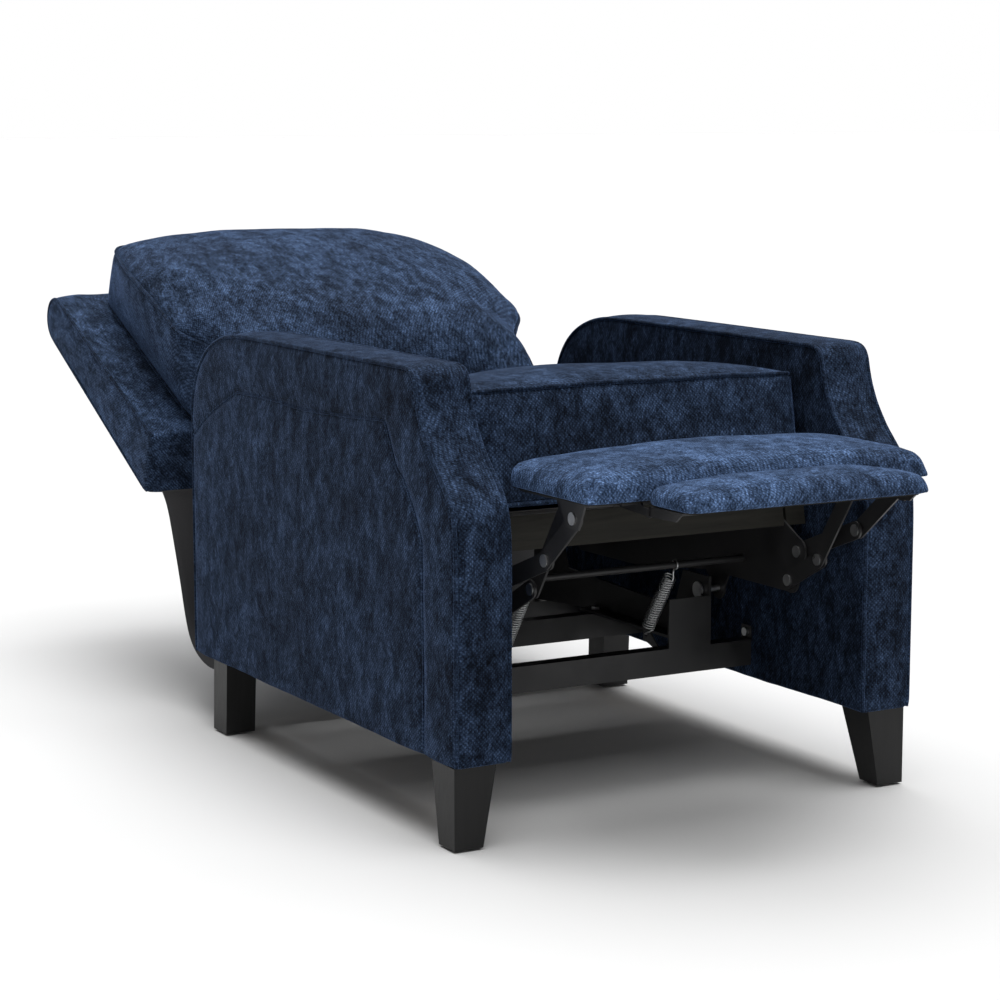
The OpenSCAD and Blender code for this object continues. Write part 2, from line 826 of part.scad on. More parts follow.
arm_frame(-1);  // left_arm_frame
arm_frame(1);  // right_arm_frame
arm_cover(-1);  // left_arm_cover
arm_cover(1);  // right_arm_cover
front_leg(-1);  // front_left_leg
front_leg(1);  // front_right_leg
rear_leg(-1);  // rear_left_leg
rear_leg(1);  // rear_right_leg
leg_bolts();
leg_glides();
cross_rail(rail_places[0], true);  // front_rail
cross_rail(rail_places[1], true);  // middle_rail
cross_rail(rail_places[2], false);  // rear_rail
rail_bolts();
base_plate(-1);  // left_base_plate
base_plate(1);  // right_base_plate
base_plate_bolts();
pivot_shaft();
dust_cloth();
return_springs();
side_seat_rail(-1);  // left_seat_rail
side_seat_rail(1);  // right_seat_rail
front_seat_rail();
rear_seat_rail();
seat_springs();
seat_deck();
seat_cushion();
seat_plate(-1);  // left_seat_plate
seat_plate(1);  // right_seat_plate
guide_rollers();
spring_crossbar();
link_pivot_bolts();
front_lower_link(-1);  // left_front_lower_link
front_lower_link(1);  // right_front_lower_link
front_link_rivets();
rear_lower_link(-1);  // left_rear_lower_link
rear_lower_link(1);  // right_rear_lower_link
rear_link_rivets();
front_upper_link(-1);  // left_front_upper_link
front_upper_link(1);  // right_front_upper_link
rear_upper_link(-1);  // left_rear_upper_link
rear_upper_link(1);  // right_rear_upper_link
footrest_bracket(-1);  // left_footrest_bracket
footrest_bracket(1);  // right_footrest_bracket
bracket_rivets();
footrest_board();
footrest_pad();
flipper_board();
flipper_pad();
flipper_hinges();
back_stile(-1);  // left_back_stile
back_stile(1);  // right_back_stile
back_cross_rails();
back_cover();
back_cushion();
lower_back_panel();
back_bracket(-1);  // left_back_bracket
back_bracket(1);  // right_back_bracket
flipper_pins();
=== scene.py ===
"""Recliner armchair: padded covers, piping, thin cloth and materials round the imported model."""

import json
import math

import bpy
import numpy as np
from mathutils import Matrix, Vector, noise
from mathutils.bvhtree import BVHTree


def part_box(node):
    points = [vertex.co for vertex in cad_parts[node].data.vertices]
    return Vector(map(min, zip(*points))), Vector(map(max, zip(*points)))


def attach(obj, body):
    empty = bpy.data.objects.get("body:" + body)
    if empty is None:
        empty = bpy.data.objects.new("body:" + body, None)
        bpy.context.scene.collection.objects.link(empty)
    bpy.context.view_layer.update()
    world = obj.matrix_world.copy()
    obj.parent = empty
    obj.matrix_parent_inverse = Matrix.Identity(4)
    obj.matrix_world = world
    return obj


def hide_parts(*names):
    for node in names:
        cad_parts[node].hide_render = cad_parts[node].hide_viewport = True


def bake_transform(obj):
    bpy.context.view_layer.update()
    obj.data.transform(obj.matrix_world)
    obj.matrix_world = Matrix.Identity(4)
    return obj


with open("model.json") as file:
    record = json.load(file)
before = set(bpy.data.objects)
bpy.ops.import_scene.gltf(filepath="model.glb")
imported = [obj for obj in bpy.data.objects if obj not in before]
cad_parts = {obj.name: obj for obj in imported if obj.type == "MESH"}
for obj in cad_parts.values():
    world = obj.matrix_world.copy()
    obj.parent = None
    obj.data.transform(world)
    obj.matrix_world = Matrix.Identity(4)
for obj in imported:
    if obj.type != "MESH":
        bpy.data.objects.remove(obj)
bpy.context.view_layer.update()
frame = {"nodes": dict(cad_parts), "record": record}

# ---------------------------------------------------------------- places taken from the frame

joints = {j["name"]: j for j in frame["record"]["behaviour"]["joints"]}
pivot = Vector(joints["back_recline"]["pos_m"])

# Frames of the seat and of the back at rest: y runs to the rear of the seat or up the back, z out of the
# face. Each is placed from the shaft that the back turns on.
SEAT_SLOPE = math.radians(-11)
BACK_SLOPE = math.radians(24)
SEAT_FROM_PIVOT = Vector((0, -0.601, 0.079))
BACK_FROM_PIVOT = Vector((0, 0.2685, 0.0845))
seat_axes = Matrix.Translation(pivot + SEAT_FROM_PIVOT) @ Matrix.Rotation(SEAT_SLOPE, 4, "X")
back_axes = Matrix.Translation(pivot + BACK_FROM_PIVOT) @ Matrix.Rotation(BACK_SLOPE, 4, "X")
IDENTITY = Matrix.Identity(4)

MM = 0.001
PIPING_R = 3.0 * MM
SEAM_R = 1.5 * MM

# ---------------------------------------------------------------- materials


def node_material(name):
    """An empty node material: (material, add, link, shader)."""
    mat = bpy.data.materials.new(name)
    mat.use_nodes = True
    tree = mat.node_tree
    tree.nodes.clear()
    out = tree.nodes.new("ShaderNodeOutputMaterial")
    shader = tree.nodes.new("ShaderNodeBsdfPrincipled")
    tree.links.new(shader.outputs["BSDF"], out.inputs["Surface"])

    def add(kind, **values):
        node = tree.nodes.new(kind)
        for key, value in values.items():
            if key in node.inputs:
                node.inputs[key].default_value = value
            else:
                setattr(node, key, value)
        return node

    return mat, add, tree.links.new, shader


def ramp(add, link, source, low, high, dark=(0, 0, 0, 1), light=(1, 1, 1, 1)):
    """A colour ramp from dark to light as source goes from low to high."""
    node = add("ShaderNodeValToRGB")
    node.color_ramp.elements[0].position = low
    node.color_ramp.elements[1].position = high
    node.color_ramp.elements[0].color = dark
    node.color_ramp.elements[1].color = light
    link(source, node.inputs["Fac"])
    return node


def mix(add, link, fac, a, b, blend="MIX"):
    """A colour mix. fac, a and b are sockets or plain values."""
    node = add("ShaderNodeMix", data_type="RGBA", blend_type=blend)
    for key, value in ((0, fac), (6, a), (7, b)):
        if isinstance(value, bpy.types.NodeSocket):
            link(value, node.inputs[key])
        else:
            node.inputs[key].default_value = value
    return node.outputs[2]


def scaled(add, link, coords, scale, rotation=(0, 0, 0)):
    """Texture coordinates stretched by scale and then turned."""
    node = add("ShaderNodeMapping", Scale=scale, Rotation=rotation)
    link(coords, node.inputs["Vector"])
    return node.outputs["Vector"]


# Velvet colours: in its folds, lying flat, and what a crushed spot adds to that
VELVET_DEEP = (0.0036, 0.0060, 0.0112)
VELVET_NAVY = (0.0080, 0.0138, 0.0262)
VELVET_CRUSHED = (0.030, 0.049, 0.090)
WEAVE_SCALE = 115.0
SHEEN = 0.4
SHEEN_TINT = (0.30, 0.50, 1.0, 1)


def grey(value):
    """An opaque grey, or one value for a ramp that drives a plain number."""
    return (value, value, value, 1)


def velvet(name, streak_axis=2, shade=1.0, marks=1.0, slope=0.0):
    """Navy chenille velvet: crushed blotches, short streaks of turned pile and a twill weave.
    marks is how pale the crushed spots are. The streaks lie along an axis of a frame turned by slope. shade
    scales all its colours up or down, as painted light and shade for the part that the copy covers."""
    mat, add, link, shader = node_material(name)
    coords = add("ShaderNodeTexCoord").outputs["Object"]
    coords = scaled(add, link, coords, (1, 1, 1), rotation=(-slope, 0, 0))

    def streaks(across, along, detail, rough=0.62):
        scale = [across] * 3
        scale[streak_axis] = along
        node = add("ShaderNodeTexNoise", Scale=1.0, Detail=detail, Roughness=rough, Distortion=0.3)
        link(scaled(add, link, coords, scale), node.inputs["Vector"])
        return node.outputs["Fac"]

    def twill(mirror):
        turned = [1.0, 1.0, 1.0]
        turned[streak_axis] = mirror
        node = add("ShaderNodeTexWave", Scale=WEAVE_SCALE, Distortion=2.2, bands_direction="DIAGONAL")
        node.inputs["Detail Scale"].default_value = 1.5
        link(scaled(add, link, coords, turned), node.inputs["Vector"])
        return node.outputs["Color"]

    blotch = streaks(10.0, 6.0, 6.0)
    crush = streaks(46.0, 28.0, 12.0, rough=0.85)
    streak = streaks(380.0, 160.0, 4.0)
    grain = add("ShaderNodeTexNoise", Scale=520.0, Detail=2.0, Roughness=0.6)
    link(coords, grain.inputs["Vector"])
    weave = mix(add, link, 1.0, twill(1.0), twill(-1.0), "MULTIPLY")

    deep = tuple(c * shade for c in VELVET_DEEP) + (1,)
    navy = tuple(c * shade for c in VELVET_NAVY) + (1,)
    pale = tuple(c + marks * shade * d for c, d in zip(navy, VELVET_CRUSHED)) + (1,)
    broad = ramp(add, link, blotch, 0.34, 0.66).outputs["Color"]
    base = mix(add, link, broad, deep, navy)
    crushed = ramp(add, link, crush, 0.44, 0.72).outputs["Color"]
    crushed = mix(add, link, 0.45, crushed, mix(add, link, 1.0, crushed, broad, "MULTIPLY"))
    base = mix(add, link, crushed, base, pale)
    streaked = ramp(add, link, streak, 0.36, 0.72, (0.4, 0.42, 0.45, 1), (1.95, 1.97, 2.0, 1))
    base = mix(add, link, 1.0, base, streaked.outputs["Color"], "MULTIPLY")
    woven = ramp(add, link, weave, 0.0, 0.8, (0.62, 0.62, 0.64, 1), (1.72, 1.73, 1.75, 1))
    base = mix(add, link, 0.8, base, woven.outputs["Color"], "MULTIPLY")
    grained = ramp(add, link, grain.outputs["Fac"], 0.3, 0.7, (0.7, 0.7, 0.72, 1), (1.3, 1.3, 1.28, 1))
    base = mix(add, link, 0.8, base, grained.outputs["Color"], "MULTIPLY")
    link(base, shader.inputs["Base Color"])
    rough = ramp(add, link, crush, 0.35, 0.7, grey(0.95), grey(0.78))
    link(rough.outputs["Color"], shader.inputs["Roughness"])
    shader.inputs["Specular IOR Level"].default_value = 0.06
    shader.inputs["Sheen Weight"].default_value = SHEEN
    shader.inputs["Sheen Roughness"].default_value = 0.18
    shader.inputs["Sheen Tint"].default_value = SHEEN_TINT

    height = mix(add, link, 0.45, weave, grain.outputs["Fac"])
    fine = add("ShaderNodeBump", Strength=0.4, Distance=0.0007)
    link(height, fine.inputs["Height"])
    pile = add("ShaderNodeBump", Strength=0.5, Distance=0.003)
    link(crush, pile.inputs["Height"])
    link(fine.outputs["Normal"], pile.inputs["Normal"])
    link(pile.outputs["Normal"], shader.inputs["Normal"])
    return mat


def thin_cloth(name):
    """Black non-woven backing cloth."""
    mat, add, link, shader = node_material(name)
    coords = add("ShaderNodeTexCoord").outputs["Object"]
    fibre = add("ShaderNodeTexNoise", Scale=380.0, Detail=4.0, Roughness=0.7)
    link(coords, fibre.inputs["Vector"])
    cloud = add("ShaderNodeTexNoise", Scale=22.0, Detail=3.0)
    link(coords, cloud.inputs["Vector"])
    tone = mix(add, link, cloud.outputs["Fac"], (0.006, 0.006, 0.007, 1), (0.016, 0.016, 0.019, 1))
    link(mix(add, link, fibre.outputs["Fac"], tone, (0.02, 0.02, 0.022, 1)), shader.inputs["Base Color"])
    shader.inputs["Roughness"].default_value = 0.88
    shader.inputs["Sheen Weight"].default_value = 0.15
    bump = add("ShaderNodeBump", Strength=0.4, Distance=0.0006)
    link(fibre.outputs["Fac"], bump.inputs["Height"])
    link(bump.outputs["Normal"], shader.inputs["Normal"])
    return mat


def painted_steel(name, tone=0.012, roughness=0.38):
    """Black powder coat with fine texture and slight wear."""
    mat, add, link, shader = node_material(name)
    coords = add("ShaderNodeTexCoord").outputs["Object"]
    peel = add("ShaderNodeTexNoise", Scale=900.0, Detail=2.0)
    smear = add("ShaderNodeTexNoise", Scale=28.0, Detail=5.0, Roughness=0.65)
    for node in (peel, smear):
        link(coords, node.inputs["Vector"])
    color = mix(add, link, smear.outputs["Fac"], (tone, tone, tone * 1.08, 1),
                (tone * 2.2, tone * 2.2, tone * 2.3, 1))
    link(color, shader.inputs["Base Color"])
    rough = ramp(add, link, smear.outputs["Fac"], 0.3, 0.7, grey(roughness - 0.08), grey(roughness + 0.14))
    link(rough.outputs["Color"], shader.inputs["Roughness"])
    shader.inputs["Metallic"].default_value = 0.25
    bump = add("ShaderNodeBump", Strength=0.15, Distance=0.0003)
    link(peel.outputs["Fac"], bump.inputs["Height"])
    link(bump.outputs["Normal"], shader.inputs["Normal"])
    return mat


def bare_metal(name, tone, roughness):
    """Plated or oiled steel with scratches and dull patches."""
    mat, add, link, shader = node_material(name)
    coords = add("ShaderNodeTexCoord").outputs["Object"]
    dull = add("ShaderNodeTexNoise", Scale=60.0, Detail=5.0, Roughness=0.6)
    link(coords, dull.inputs["Vector"])
    scratch = add("ShaderNodeTexNoise", Scale=1.0, Detail=3.0)
    link(scaled(add, link, coords, (160, 900, 900)), scratch.inputs["Vector"])
    low = tuple(t * 0.72 for t in tone) + (1,)
    link(mix(add, link, dull.outputs["Fac"], low, tone + (1,)), shader.inputs["Base Color"])
    rough = ramp(add, link, dull.outputs["Fac"], 0.3, 0.75, grey(roughness), grey(roughness + 0.25))
    link(rough.outputs["Color"], shader.inputs["Roughness"])
    shader.inputs["Metallic"].default_value = 1.0
    bump = add("ShaderNodeBump", Strength=0.12, Distance=0.0002)
    link(scratch.outputs["Fac"], bump.inputs["Height"])
    link(bump.outputs["Normal"], shader.inputs["Normal"])
    return mat


def wood(name, dark, light, roughness, grain_axis=1, bump_mm=0.25, gloss=0.5):
    """Timber or board with long grain."""
    mat, add, link, shader = node_material(name)
    coords = add("ShaderNodeTexCoord").outputs["Object"]
    stretch = [70.0, 70.0, 70.0]
    stretch[grain_axis] = 5.0
    grain = add("ShaderNodeTexNoise", Scale=1.0, Detail=6.0, Roughness=0.6, Distortion=1.2)
    link(scaled(add, link, coords, stretch), grain.inputs["Vector"])
    pores = add("ShaderNodeTexNoise", Scale=5.0, Detail=3.0)
    link(scaled(add, link, coords, [s * 2.5 for s in stretch]), pores.inputs["Vector"])
    fac = ramp(add, link, grain.outputs["Fac"], 0.3, 0.7).outputs["Color"]
    link(mix(add, link, fac, dark + (1,), light + (1,)), shader.inputs["Base Color"])
    rough = ramp(add, link, pores.outputs["Fac"], 0.3, 0.7, grey(roughness), grey(roughness + 0.12))
    link(rough.outputs["Color"], shader.inputs["Roughness"])
    shader.inputs["Specular IOR Level"].default_value = gloss
    bump = add("ShaderNodeBump", Strength=0.3, Distance=bump_mm * MM)
    link(pores.outputs["Fac"], bump.inputs["Height"])
    link(bump.outputs["Normal"], shader.inputs["Normal"])
    return mat


def moulded_plastic(name):
    """Black plastic with a fine speckle."""
    mat, add, link, shader = node_material(name)
    coords = add("ShaderNodeTexCoord").outputs["Object"]
    speckle = add("ShaderNodeTexNoise", Scale=700.0, Detail=2.0)
    link(coords, speckle.inputs["Vector"])
    link(mix(add, link, speckle.outputs["Fac"], grey(0.012), grey(0.03)), shader.inputs["Base Color"])
    shader.inputs["Roughness"].default_value = 0.6
    bump = add("ShaderNodeBump", Strength=0.2, Distance=0.0003)
    link(speckle.outputs["Fac"], bump.inputs["Height"])
    link(bump.outputs["Normal"], shader.inputs["Normal"])
    return mat


# Copies of the one velvet, with painted light and shade in their shade levels. The arms, whose sides face
# away from the light, are darker. The seat, the back and the piping are lighter. The footrest pads, whose
# tops face up into the light, are lightest.
fabric = velvet("blue_velvet_cover", shade=0.85, marks=1.8)
fabric_seat = velvet("blue_velvet_seat", shade=1.25, marks=1.3, slope=SEAT_SLOPE)
fabric_along = velvet("blue_velvet_along", streak_axis=1, shade=1.4, marks=1.6, slope=BACK_SLOPE)
fabric_piping = velvet("blue_velvet_piping", shade=1.15)
# Painted light: the footrest pads get a copy of the velvet about three times as light, for the light falling
# on their upward tops.
fabric_painted_lit = velvet("blue_velvet_painted_lit", shade=3.1)
black_cloth = thin_cloth("black_backing")
finishes = {
    "blue_velvet": fabric,
    "black_steel": painted_steel("black_powder_coat"),
    "zinc_steel": bare_metal("zinc_plate", (0.62, 0.63, 0.64), 0.24),
    "spring_steel": bare_metal("oiled_spring_steel", (0.05, 0.05, 0.055), 0.4),
    "timber": wood("raw_plywood", (0.34, 0.22, 0.12), (0.56, 0.41, 0.25), 0.6),
    "black_lacquer": wood("black_lacquer_wood", (0.005, 0.005, 0.0052), (0.0085, 0.0085, 0.0088), 0.36,
                          grain_axis=2, bump_mm=0.12, gloss=0.28),
    # Near-black board. On the seat's front rail it is partly a dark lining and partly painted shade for the
    # shade under the footrest.
    "dark_board": wood("dark_board", (0.006, 0.0058, 0.0045), (0.014, 0.0132, 0.0105), 0.6, grain_axis=0,
                       gloss=0.2),
    "black_cloth": black_cloth,
    "black_plastic": moulded_plastic("moulded_glide"),
}

# ---------------------------------------------------------------- mesh helpers


def mesh_object(name, points, faces, axes=IDENTITY, material=None):
    """A smooth-shaded mesh object whose points are given in axes."""
    mesh = bpy.data.meshes.new(name)
    mesh.from_pydata([tuple(p) for p in points], [], faces)
    mesh.validate()
    mesh.update()
    mesh.polygons.foreach_set("use_smooth", [True] * len(mesh.polygons))
    obj = bpy.data.objects.new(name, mesh)
    bpy.context.scene.collection.objects.link(obj)
    obj.matrix_world = axes
    if material:
        mesh.materials.append(material)
    return obj


def positions(obj):
    """The mesh points of obj as an array."""
    flat = np.empty(len(obj.data.vertices) * 3)
    obj.data.vertices.foreach_get("co", flat)
    return flat.reshape(-1, 3)


def set_positions(obj, points):
    obj.data.vertices.foreach_set("co", np.ascontiguousarray(points, dtype=float).ravel())
    obj.data.update()


def normals(obj):
    """The point normals of obj as an array."""
    flat = np.empty(len(obj.data.vertices) * 3)
    obj.data.vertices.foreach_get("normal", flat)
    return flat.reshape(-1, 3)


def grid_lines(low, high, edge, step):
    """Positions from low to high about step apart, closer together within edge of both ends."""
    fine = [edge * f for f in (0, 0.35, 0.7, 1.0, 1.6)]
    inner = max(2, round((high - low - 2 * fine[-1]) / step))
    width = high - low - 2 * fine[-1]
    middle = [low + fine[-1] + width * i / inner for i in range(inner + 1)]
    return [low + f for f in fine[:-1]] + middle + [high - f for f in reversed(fine[:-1])]


class Block:
    """The surface grid of a box: points, faces and the index of each grid place."""

    def __init__(self, xs, ys, zs):
        self.lines = (xs, ys, zs)
        self.last = tuple(len(v) - 1 for v in (xs, ys, zs))
        self.index = {}
        self.points = []
        self.faces = []
        nx, ny, nz = self.last
        at = self.at
        for i in range(nx):
            for j in range(ny):
                self.faces.append((at(i, j, 0), at(i, j + 1, 0), at(i + 1, j + 1, 0), at(i + 1, j, 0)))
                self.faces.append((at(i, j, nz), at(i + 1, j, nz), at(i + 1, j + 1, nz), at(i, j + 1, nz)))
        for i in range(nx):
            for k in range(nz):
                self.faces.append((at(i, 0, k), at(i + 1, 0, k), at(i + 1, 0, k + 1), at(i, 0, k + 1)))
                self.faces.append((at(i, ny, k), at(i, ny, k + 1), at(i + 1, ny, k + 1), at(i + 1, ny, k)))
        for j in range(ny):
            for k in range(nz):
                self.faces.append((at(0, j, k), at(0, j, k + 1), at(0, j + 1, k + 1), at(0, j + 1, k)))
                self.faces.append((at(nx, j, k), at(nx, j + 1, k), at(nx, j + 1, k + 1), at(nx, j, k + 1)))
        self.points = np.array(self.points)

    def at(self, i, j, k):
        key = (i, j, k)
        if key not in self.index:
            self.index[key] = len(self.points)
            xs, ys, zs = self.lines
            self.points.append((xs[i], ys[j], zs[k]))
        return self.index[key]

    def ring(self, k):
        """Indices of the closed edge loop round the box at the lowest (0) or highest (-1) level."""
        nx, ny, nz = self.last
        k = nz if k == -1 else 0
        places = [(i, 0) for i in range(nx)] + [(nx, j) for j in range(ny)]
        places += [(i, ny) for i in range(nx, 0, -1)] + [(0, j) for j in range(ny, 0, -1)]
        return [self.index[(i, j, k)] for i, j in places]

    def side_edge(self, i_end, sides):
        """Indices along the x = lowest (0) or highest (-1) end, over the named sides in order."""
        nx, ny, nz = self.last
        i = nx if i_end == -1 else 0
        runs = {
            "front": [(0, k) for k in range(nz + 1)],
            "top": [(j, nz) for j in range(ny + 1)],
            "rear": [(ny, k) for k in range(nz, -1, -1)],
            "bottom": [(j, 0) for j in range(ny, -1, -1)],
        }
        places = []
        for side in sides:
            run = runs[side]
            places += run[1:] if places and places[-1] == run[0] else run
        return [self.index[(i, j, k)] for j, k in places]


def round_edges(p, low, high, r_low, r_top):
    """Rounds all edges of a box grid, with one radius below its middle and one above."""
    low, high = np.array(low), np.array(high)
    r = np.where(p[:, 2] > (low[2] + high[2]) / 2, r_top, r_low)[:, None]
    inner = np.clip(p, low + r, high - r)
    off = p - inner
    return inner + r * off / np.linalg.norm(off, axis=1, keepdims=True)


def round_corners(p, low, high, r_front, r_rear):
    """Rounds the four upright corners of a grid in plan."""
    mid = [(low[a] + high[a]) / 2 for a in (0, 1)]
    half = [(high[a] - low[a]) / 2 for a in (0, 1)]
    r = np.where(p[:, 1] < mid[1], r_front, r_rear)
    dx = p[:, 0] - mid[0]
    dy = p[:, 1] - mid[1]
    cx = np.abs(dx) - (half[0] - r)
    cy = np.abs(dy) - (half[1] - r)
    corner = (cx > 0) & (cy > 0)
    scale = np.where(corner, np.maximum(cx, cy) / np.maximum(np.hypot(cx, cy), 1e-9), 1.0)
    out = p.copy()
    out[:, 0] = np.where(corner, mid[0] + np.sign(dx) * (half[0] - r + cx * scale), p[:, 0])
    out[:, 1] = np.where(corner, mid[1] + np.sign(dy) * (half[1] - r + cy * scale), p[:, 1])
    return out


def dome(a, b, power, fullness):
    """Height of a pillow, from 0 at its edges (a or b = 1) to 1 in the middle. Low fullness is steep."""
    return ((1 - np.minimum(np.abs(a), 1) ** power) * (1 - np.minimum(np.abs(b), 1) ** power)) ** fullness


def rise(x, low, high):
    """Smooth step from 0 at low to 1 at high."""
    t = np.clip((x - low) / (high - low), 0, 1)
    return t * t * (3 - 2 * t)


def swell(p, low, high, crown, sides, power=2.6, fullness=0.8):
    """Crowns the top of a block by crown, and bows its walls out by sides between its seams."""
    mid = (np.array(low) + np.array(high)) / 2
    half = (np.array(high) - np.array(low)) / 2
    a = np.clip((p[:, 0] - mid[0]) / half[0], -1, 1)
    b = np.clip((p[:, 1] - mid[1]) / half[1], -1, 1)
    c = np.clip((p[:, 2] - mid[2]) / half[2], -1, 1)
    out = p.copy()
    out[:, 2] += crown * dome(a, b, power, fullness) * np.clip(c, 0, 1) ** 2
    wall = np.cos(c * math.pi / 2)
    out[:, 0] += sides * np.sign(a) * np.abs(a) ** 6 * wall * (1 - b ** 4)
    out[:, 1] += sides * np.sign(b) * np.abs(b) ** 6 * wall * (1 - a ** 4)
    return out


def ripple(p, size, height, seed):
    """Low, soft unevenness: the same for the same points and seed."""
    return np.array([noise.noise(Vector(q) / size + Vector((seed, 0, 0))) * height for q in p])


def resample(points, step):
    """Points about step apart along a polyline."""
    points = np.array(points, dtype=float)
    length = np.concatenate([[0], np.cumsum(np.linalg.norm(np.diff(points, axis=0), axis=1))])
    count = max(2, round(length[-1] / step))
    at = np.linspace(0, length[-1], count + 1)
    return np.stack([np.interp(at, length, points[:, i]) for i in range(points.shape[1])], axis=1)


def smooth_path(points, passes, closed=False):
    """Points moved towards the middle of their neighbours, passes times."""
    points = np.array(points, dtype=float)
    for _ in range(passes):
        if closed:
            points = 0.5 * points + 0.25 * (np.roll(points, 1, axis=0) + np.roll(points, -1, axis=0))
        else:
            points[1:-1] = 0.5 * points[1:-1] + 0.25 * (points[:-2] + points[2:])
    return points


def path_distance(p, path):
    """Distance of each point to a polyline, in any number of dimensions."""
    best = np.full(len(p), 1e9)
    for a, b in zip(path[:-1], path[1:]):
        ab = b - a
        t = np.clip(((p - a) @ ab) / max(ab @ ab, 1e-12), 0, 1)
        best = np.minimum(best, np.linalg.norm(p - a - t[:, None] * ab, axis=1))
    return best


def tube(name, path, radius, axes, material, closed=False, sides=8):
    """A round cord mesh along a path."""
    path = np.array(path, dtype=float)
    n = len(path)
    if closed:
        tangent = np.roll(path, -1, axis=0) - np.roll(path, 1, axis=0)
    else:
        tangent = np.gradient(path, axis=0)
    tangent /= np.linalg.norm(tangent, axis=1, keepdims=True)
    first = np.cross(tangent[0], (1, 0, 0) if abs(tangent[0][0]) < 0.9 else (0, 0, 1))
    normal = first / np.linalg.norm(first)
    frames = []
    for t in tangent:
        normal = normal - (normal @ t) * t
        normal /= np.linalg.norm(normal)
        frames.append((normal, np.cross(t, normal)))
    turn = 0.0
    if closed:
        back = frames[-1][0] - (frames[-1][0] @ tangent[0]) * tangent[0]
        turn = math.atan2(back @ frames[0][1], back @ frames[0][0])
    points = []
    for i, (u, v) in enumerate(frames):
        for s in range(sides):
            angle = 2 * math.pi * s / sides - turn * i / n
            points.append(path[i] + radius * (math.cos(angle) * u + math.sin(angle) * v))
    faces = []
    for i in range(n if closed else n - 1):
        for s in range(sides):
            a, b = i * sides + s, i * sides + (s + 1) % sides
            c, d = (b + sides) % (n * sides), (a + sides) % (n * sides)
            faces.append((a, b, c, d))
    if not closed:
        faces.append(tuple(reversed(range(sides))))
        faces.append(tuple((n - 1) * sides + s for s in range(sides)))
    return mesh_object(name, points, faces, axes, material)


def subdivide(obj, levels=1):
    """Applies a subdivision surface. The first points of the result are those of obj."""
    modifier = obj.modifiers.new("Subdivision", "SUBSURF")
    modifier.levels = levels
    modifier.render_levels = levels
    apply_modifiers(obj)


def apply_modifiers(obj):
    """Makes the shape that the modifiers of obj give its own mesh."""
    shape = obj.evaluated_get(bpy.context.evaluated_depsgraph_get())
    mesh = bpy.data.meshes.new_from_object(shape)
    old = obj.data
    obj.modifiers.clear()
    obj.data = mesh
    bpy.data.meshes.remove(old)
    mesh.polygons.foreach_set("use_smooth", [True] * len(mesh.polygons))


def base_points(block, low):
    """Indices of the points on the underside of a block."""
    return [i for i, q in enumerate(block.points) if q[2] <= low[2] + 1e-6]


def inflate(obj, held, cap, pressure=4.0, frames=16):
    """Runs a cloth simulation with air pressure. held are the points that stay, cap the largest move."""
    scene = bpy.context.scene
    before = positions(obj)
    group = obj.vertex_groups.new(name="held")
    group.add([int(i) for i in held], 1.0, "REPLACE")
    cloth = obj.modifiers.new("Cloth", "CLOTH")
    cloth.settings.quality = 5
    cloth.settings.mass = 0.4
    cloth.settings.tension_stiffness = 12
    cloth.settings.compression_stiffness = 12
    cloth.settings.shear_stiffness = 6
    cloth.settings.bending_stiffness = 0.6
    cloth.settings.use_pressure = True
    cloth.settings.uniform_pressure_force = pressure
    cloth.settings.vertex_group_mass = "held"
    cloth.settings.effector_weights.gravity = 0
    cloth.collision_settings.use_collision = False
    cloth.collision_settings.use_self_collision = False
    cloth.point_cache.frame_start = 1
    cloth.point_cache.frame_end = frames
    scene.frame_start, scene.frame_end = 1, frames
    for f in range(1, frames + 1):
        scene.frame_set(f)
    apply_modifiers(obj)
    scene.frame_set(1)
    after = positions(obj)
    move = after - before
    size = np.linalg.norm(move, axis=1, keepdims=True)
    limit = cap * np.tanh(size / cap) / np.maximum(size, 1e-9)
    set_positions(obj, before + move * limit)
    obj.vertex_groups.clear()


def sew(obj, path, depth, width):
    """Draws the surface in along a seam."""
    p = positions(obj)
    near = path_distance(p, np.array(path))
    set_positions(obj, p - normals(obj) * (depth * np.exp(-((near / width) ** 2)))[:, None])


def soft_piece(obj, body, replaced=()):
    """Puts the points of a soft piece into the frame's own axes, hangs it on the body that it rides on, if
    any, and hides the parts that it stands for."""
    obj.data.transform(obj.matrix_world)
    obj.matrix_world = IDENTITY
    if body:
        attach(obj, body)
    if replaced:
        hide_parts(*replaced)


# ---------------------------------------------------------------- arms

arm_low, arm_high = (Vector(v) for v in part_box("left_arm_cover"))
ARM_FRONT = arm_low.y
ARM_BOTTOM = arm_low.z
ARM_LENGTH = arm_high.y - arm_low.y
ARM_HEIGHT = arm_high.z - arm_low.z
ARM_T = arm_high.x - arm_low.x
ARM_STEP = 7 * MM
ARM_EDGE_R = 7 * MM
# How far an arm's outer panel, inner panel and front-to-rear strip swell
PANEL_PUFF = 3.6 * MM
INNER_PUFF = 1.4 * MM
STRIP_PUFF = 4 * MM

# Front edge of an arm from the floor end up, from its front face and lower edge, in mm
ARM_FRONT_EDGE = [(0, 0), (0, 250), (1, 280), (4, 308), (13, 330), (36, 354), (62, 379), (84, 408),
                  (97, 434), (104, 456), (107, 472), (113, 481)]
# The top edge runs level from there to a superellipse that turns down into the rear edge
REAR_CURVE_START = (619, 338)
REAR_CURVE_R = (200, 151)
REAR_CURVE_POWER = 2 / 2.4
REAR_CURVE_SPLIT = 0.5
CURVE_STEPS = 12


def rear_curve(t):
    """Place on the arm's rear curve, from its level top (0) to its upright rear (1), in mm."""
    a = t * math.pi / 2
    return (REAR_CURVE_START[0] + REAR_CURVE_R[0] * math.sin(a) ** REAR_CURVE_POWER,
            REAR_CURVE_START[1] + REAR_CURVE_R[1] * math.cos(a) ** REAR_CURVE_POWER)


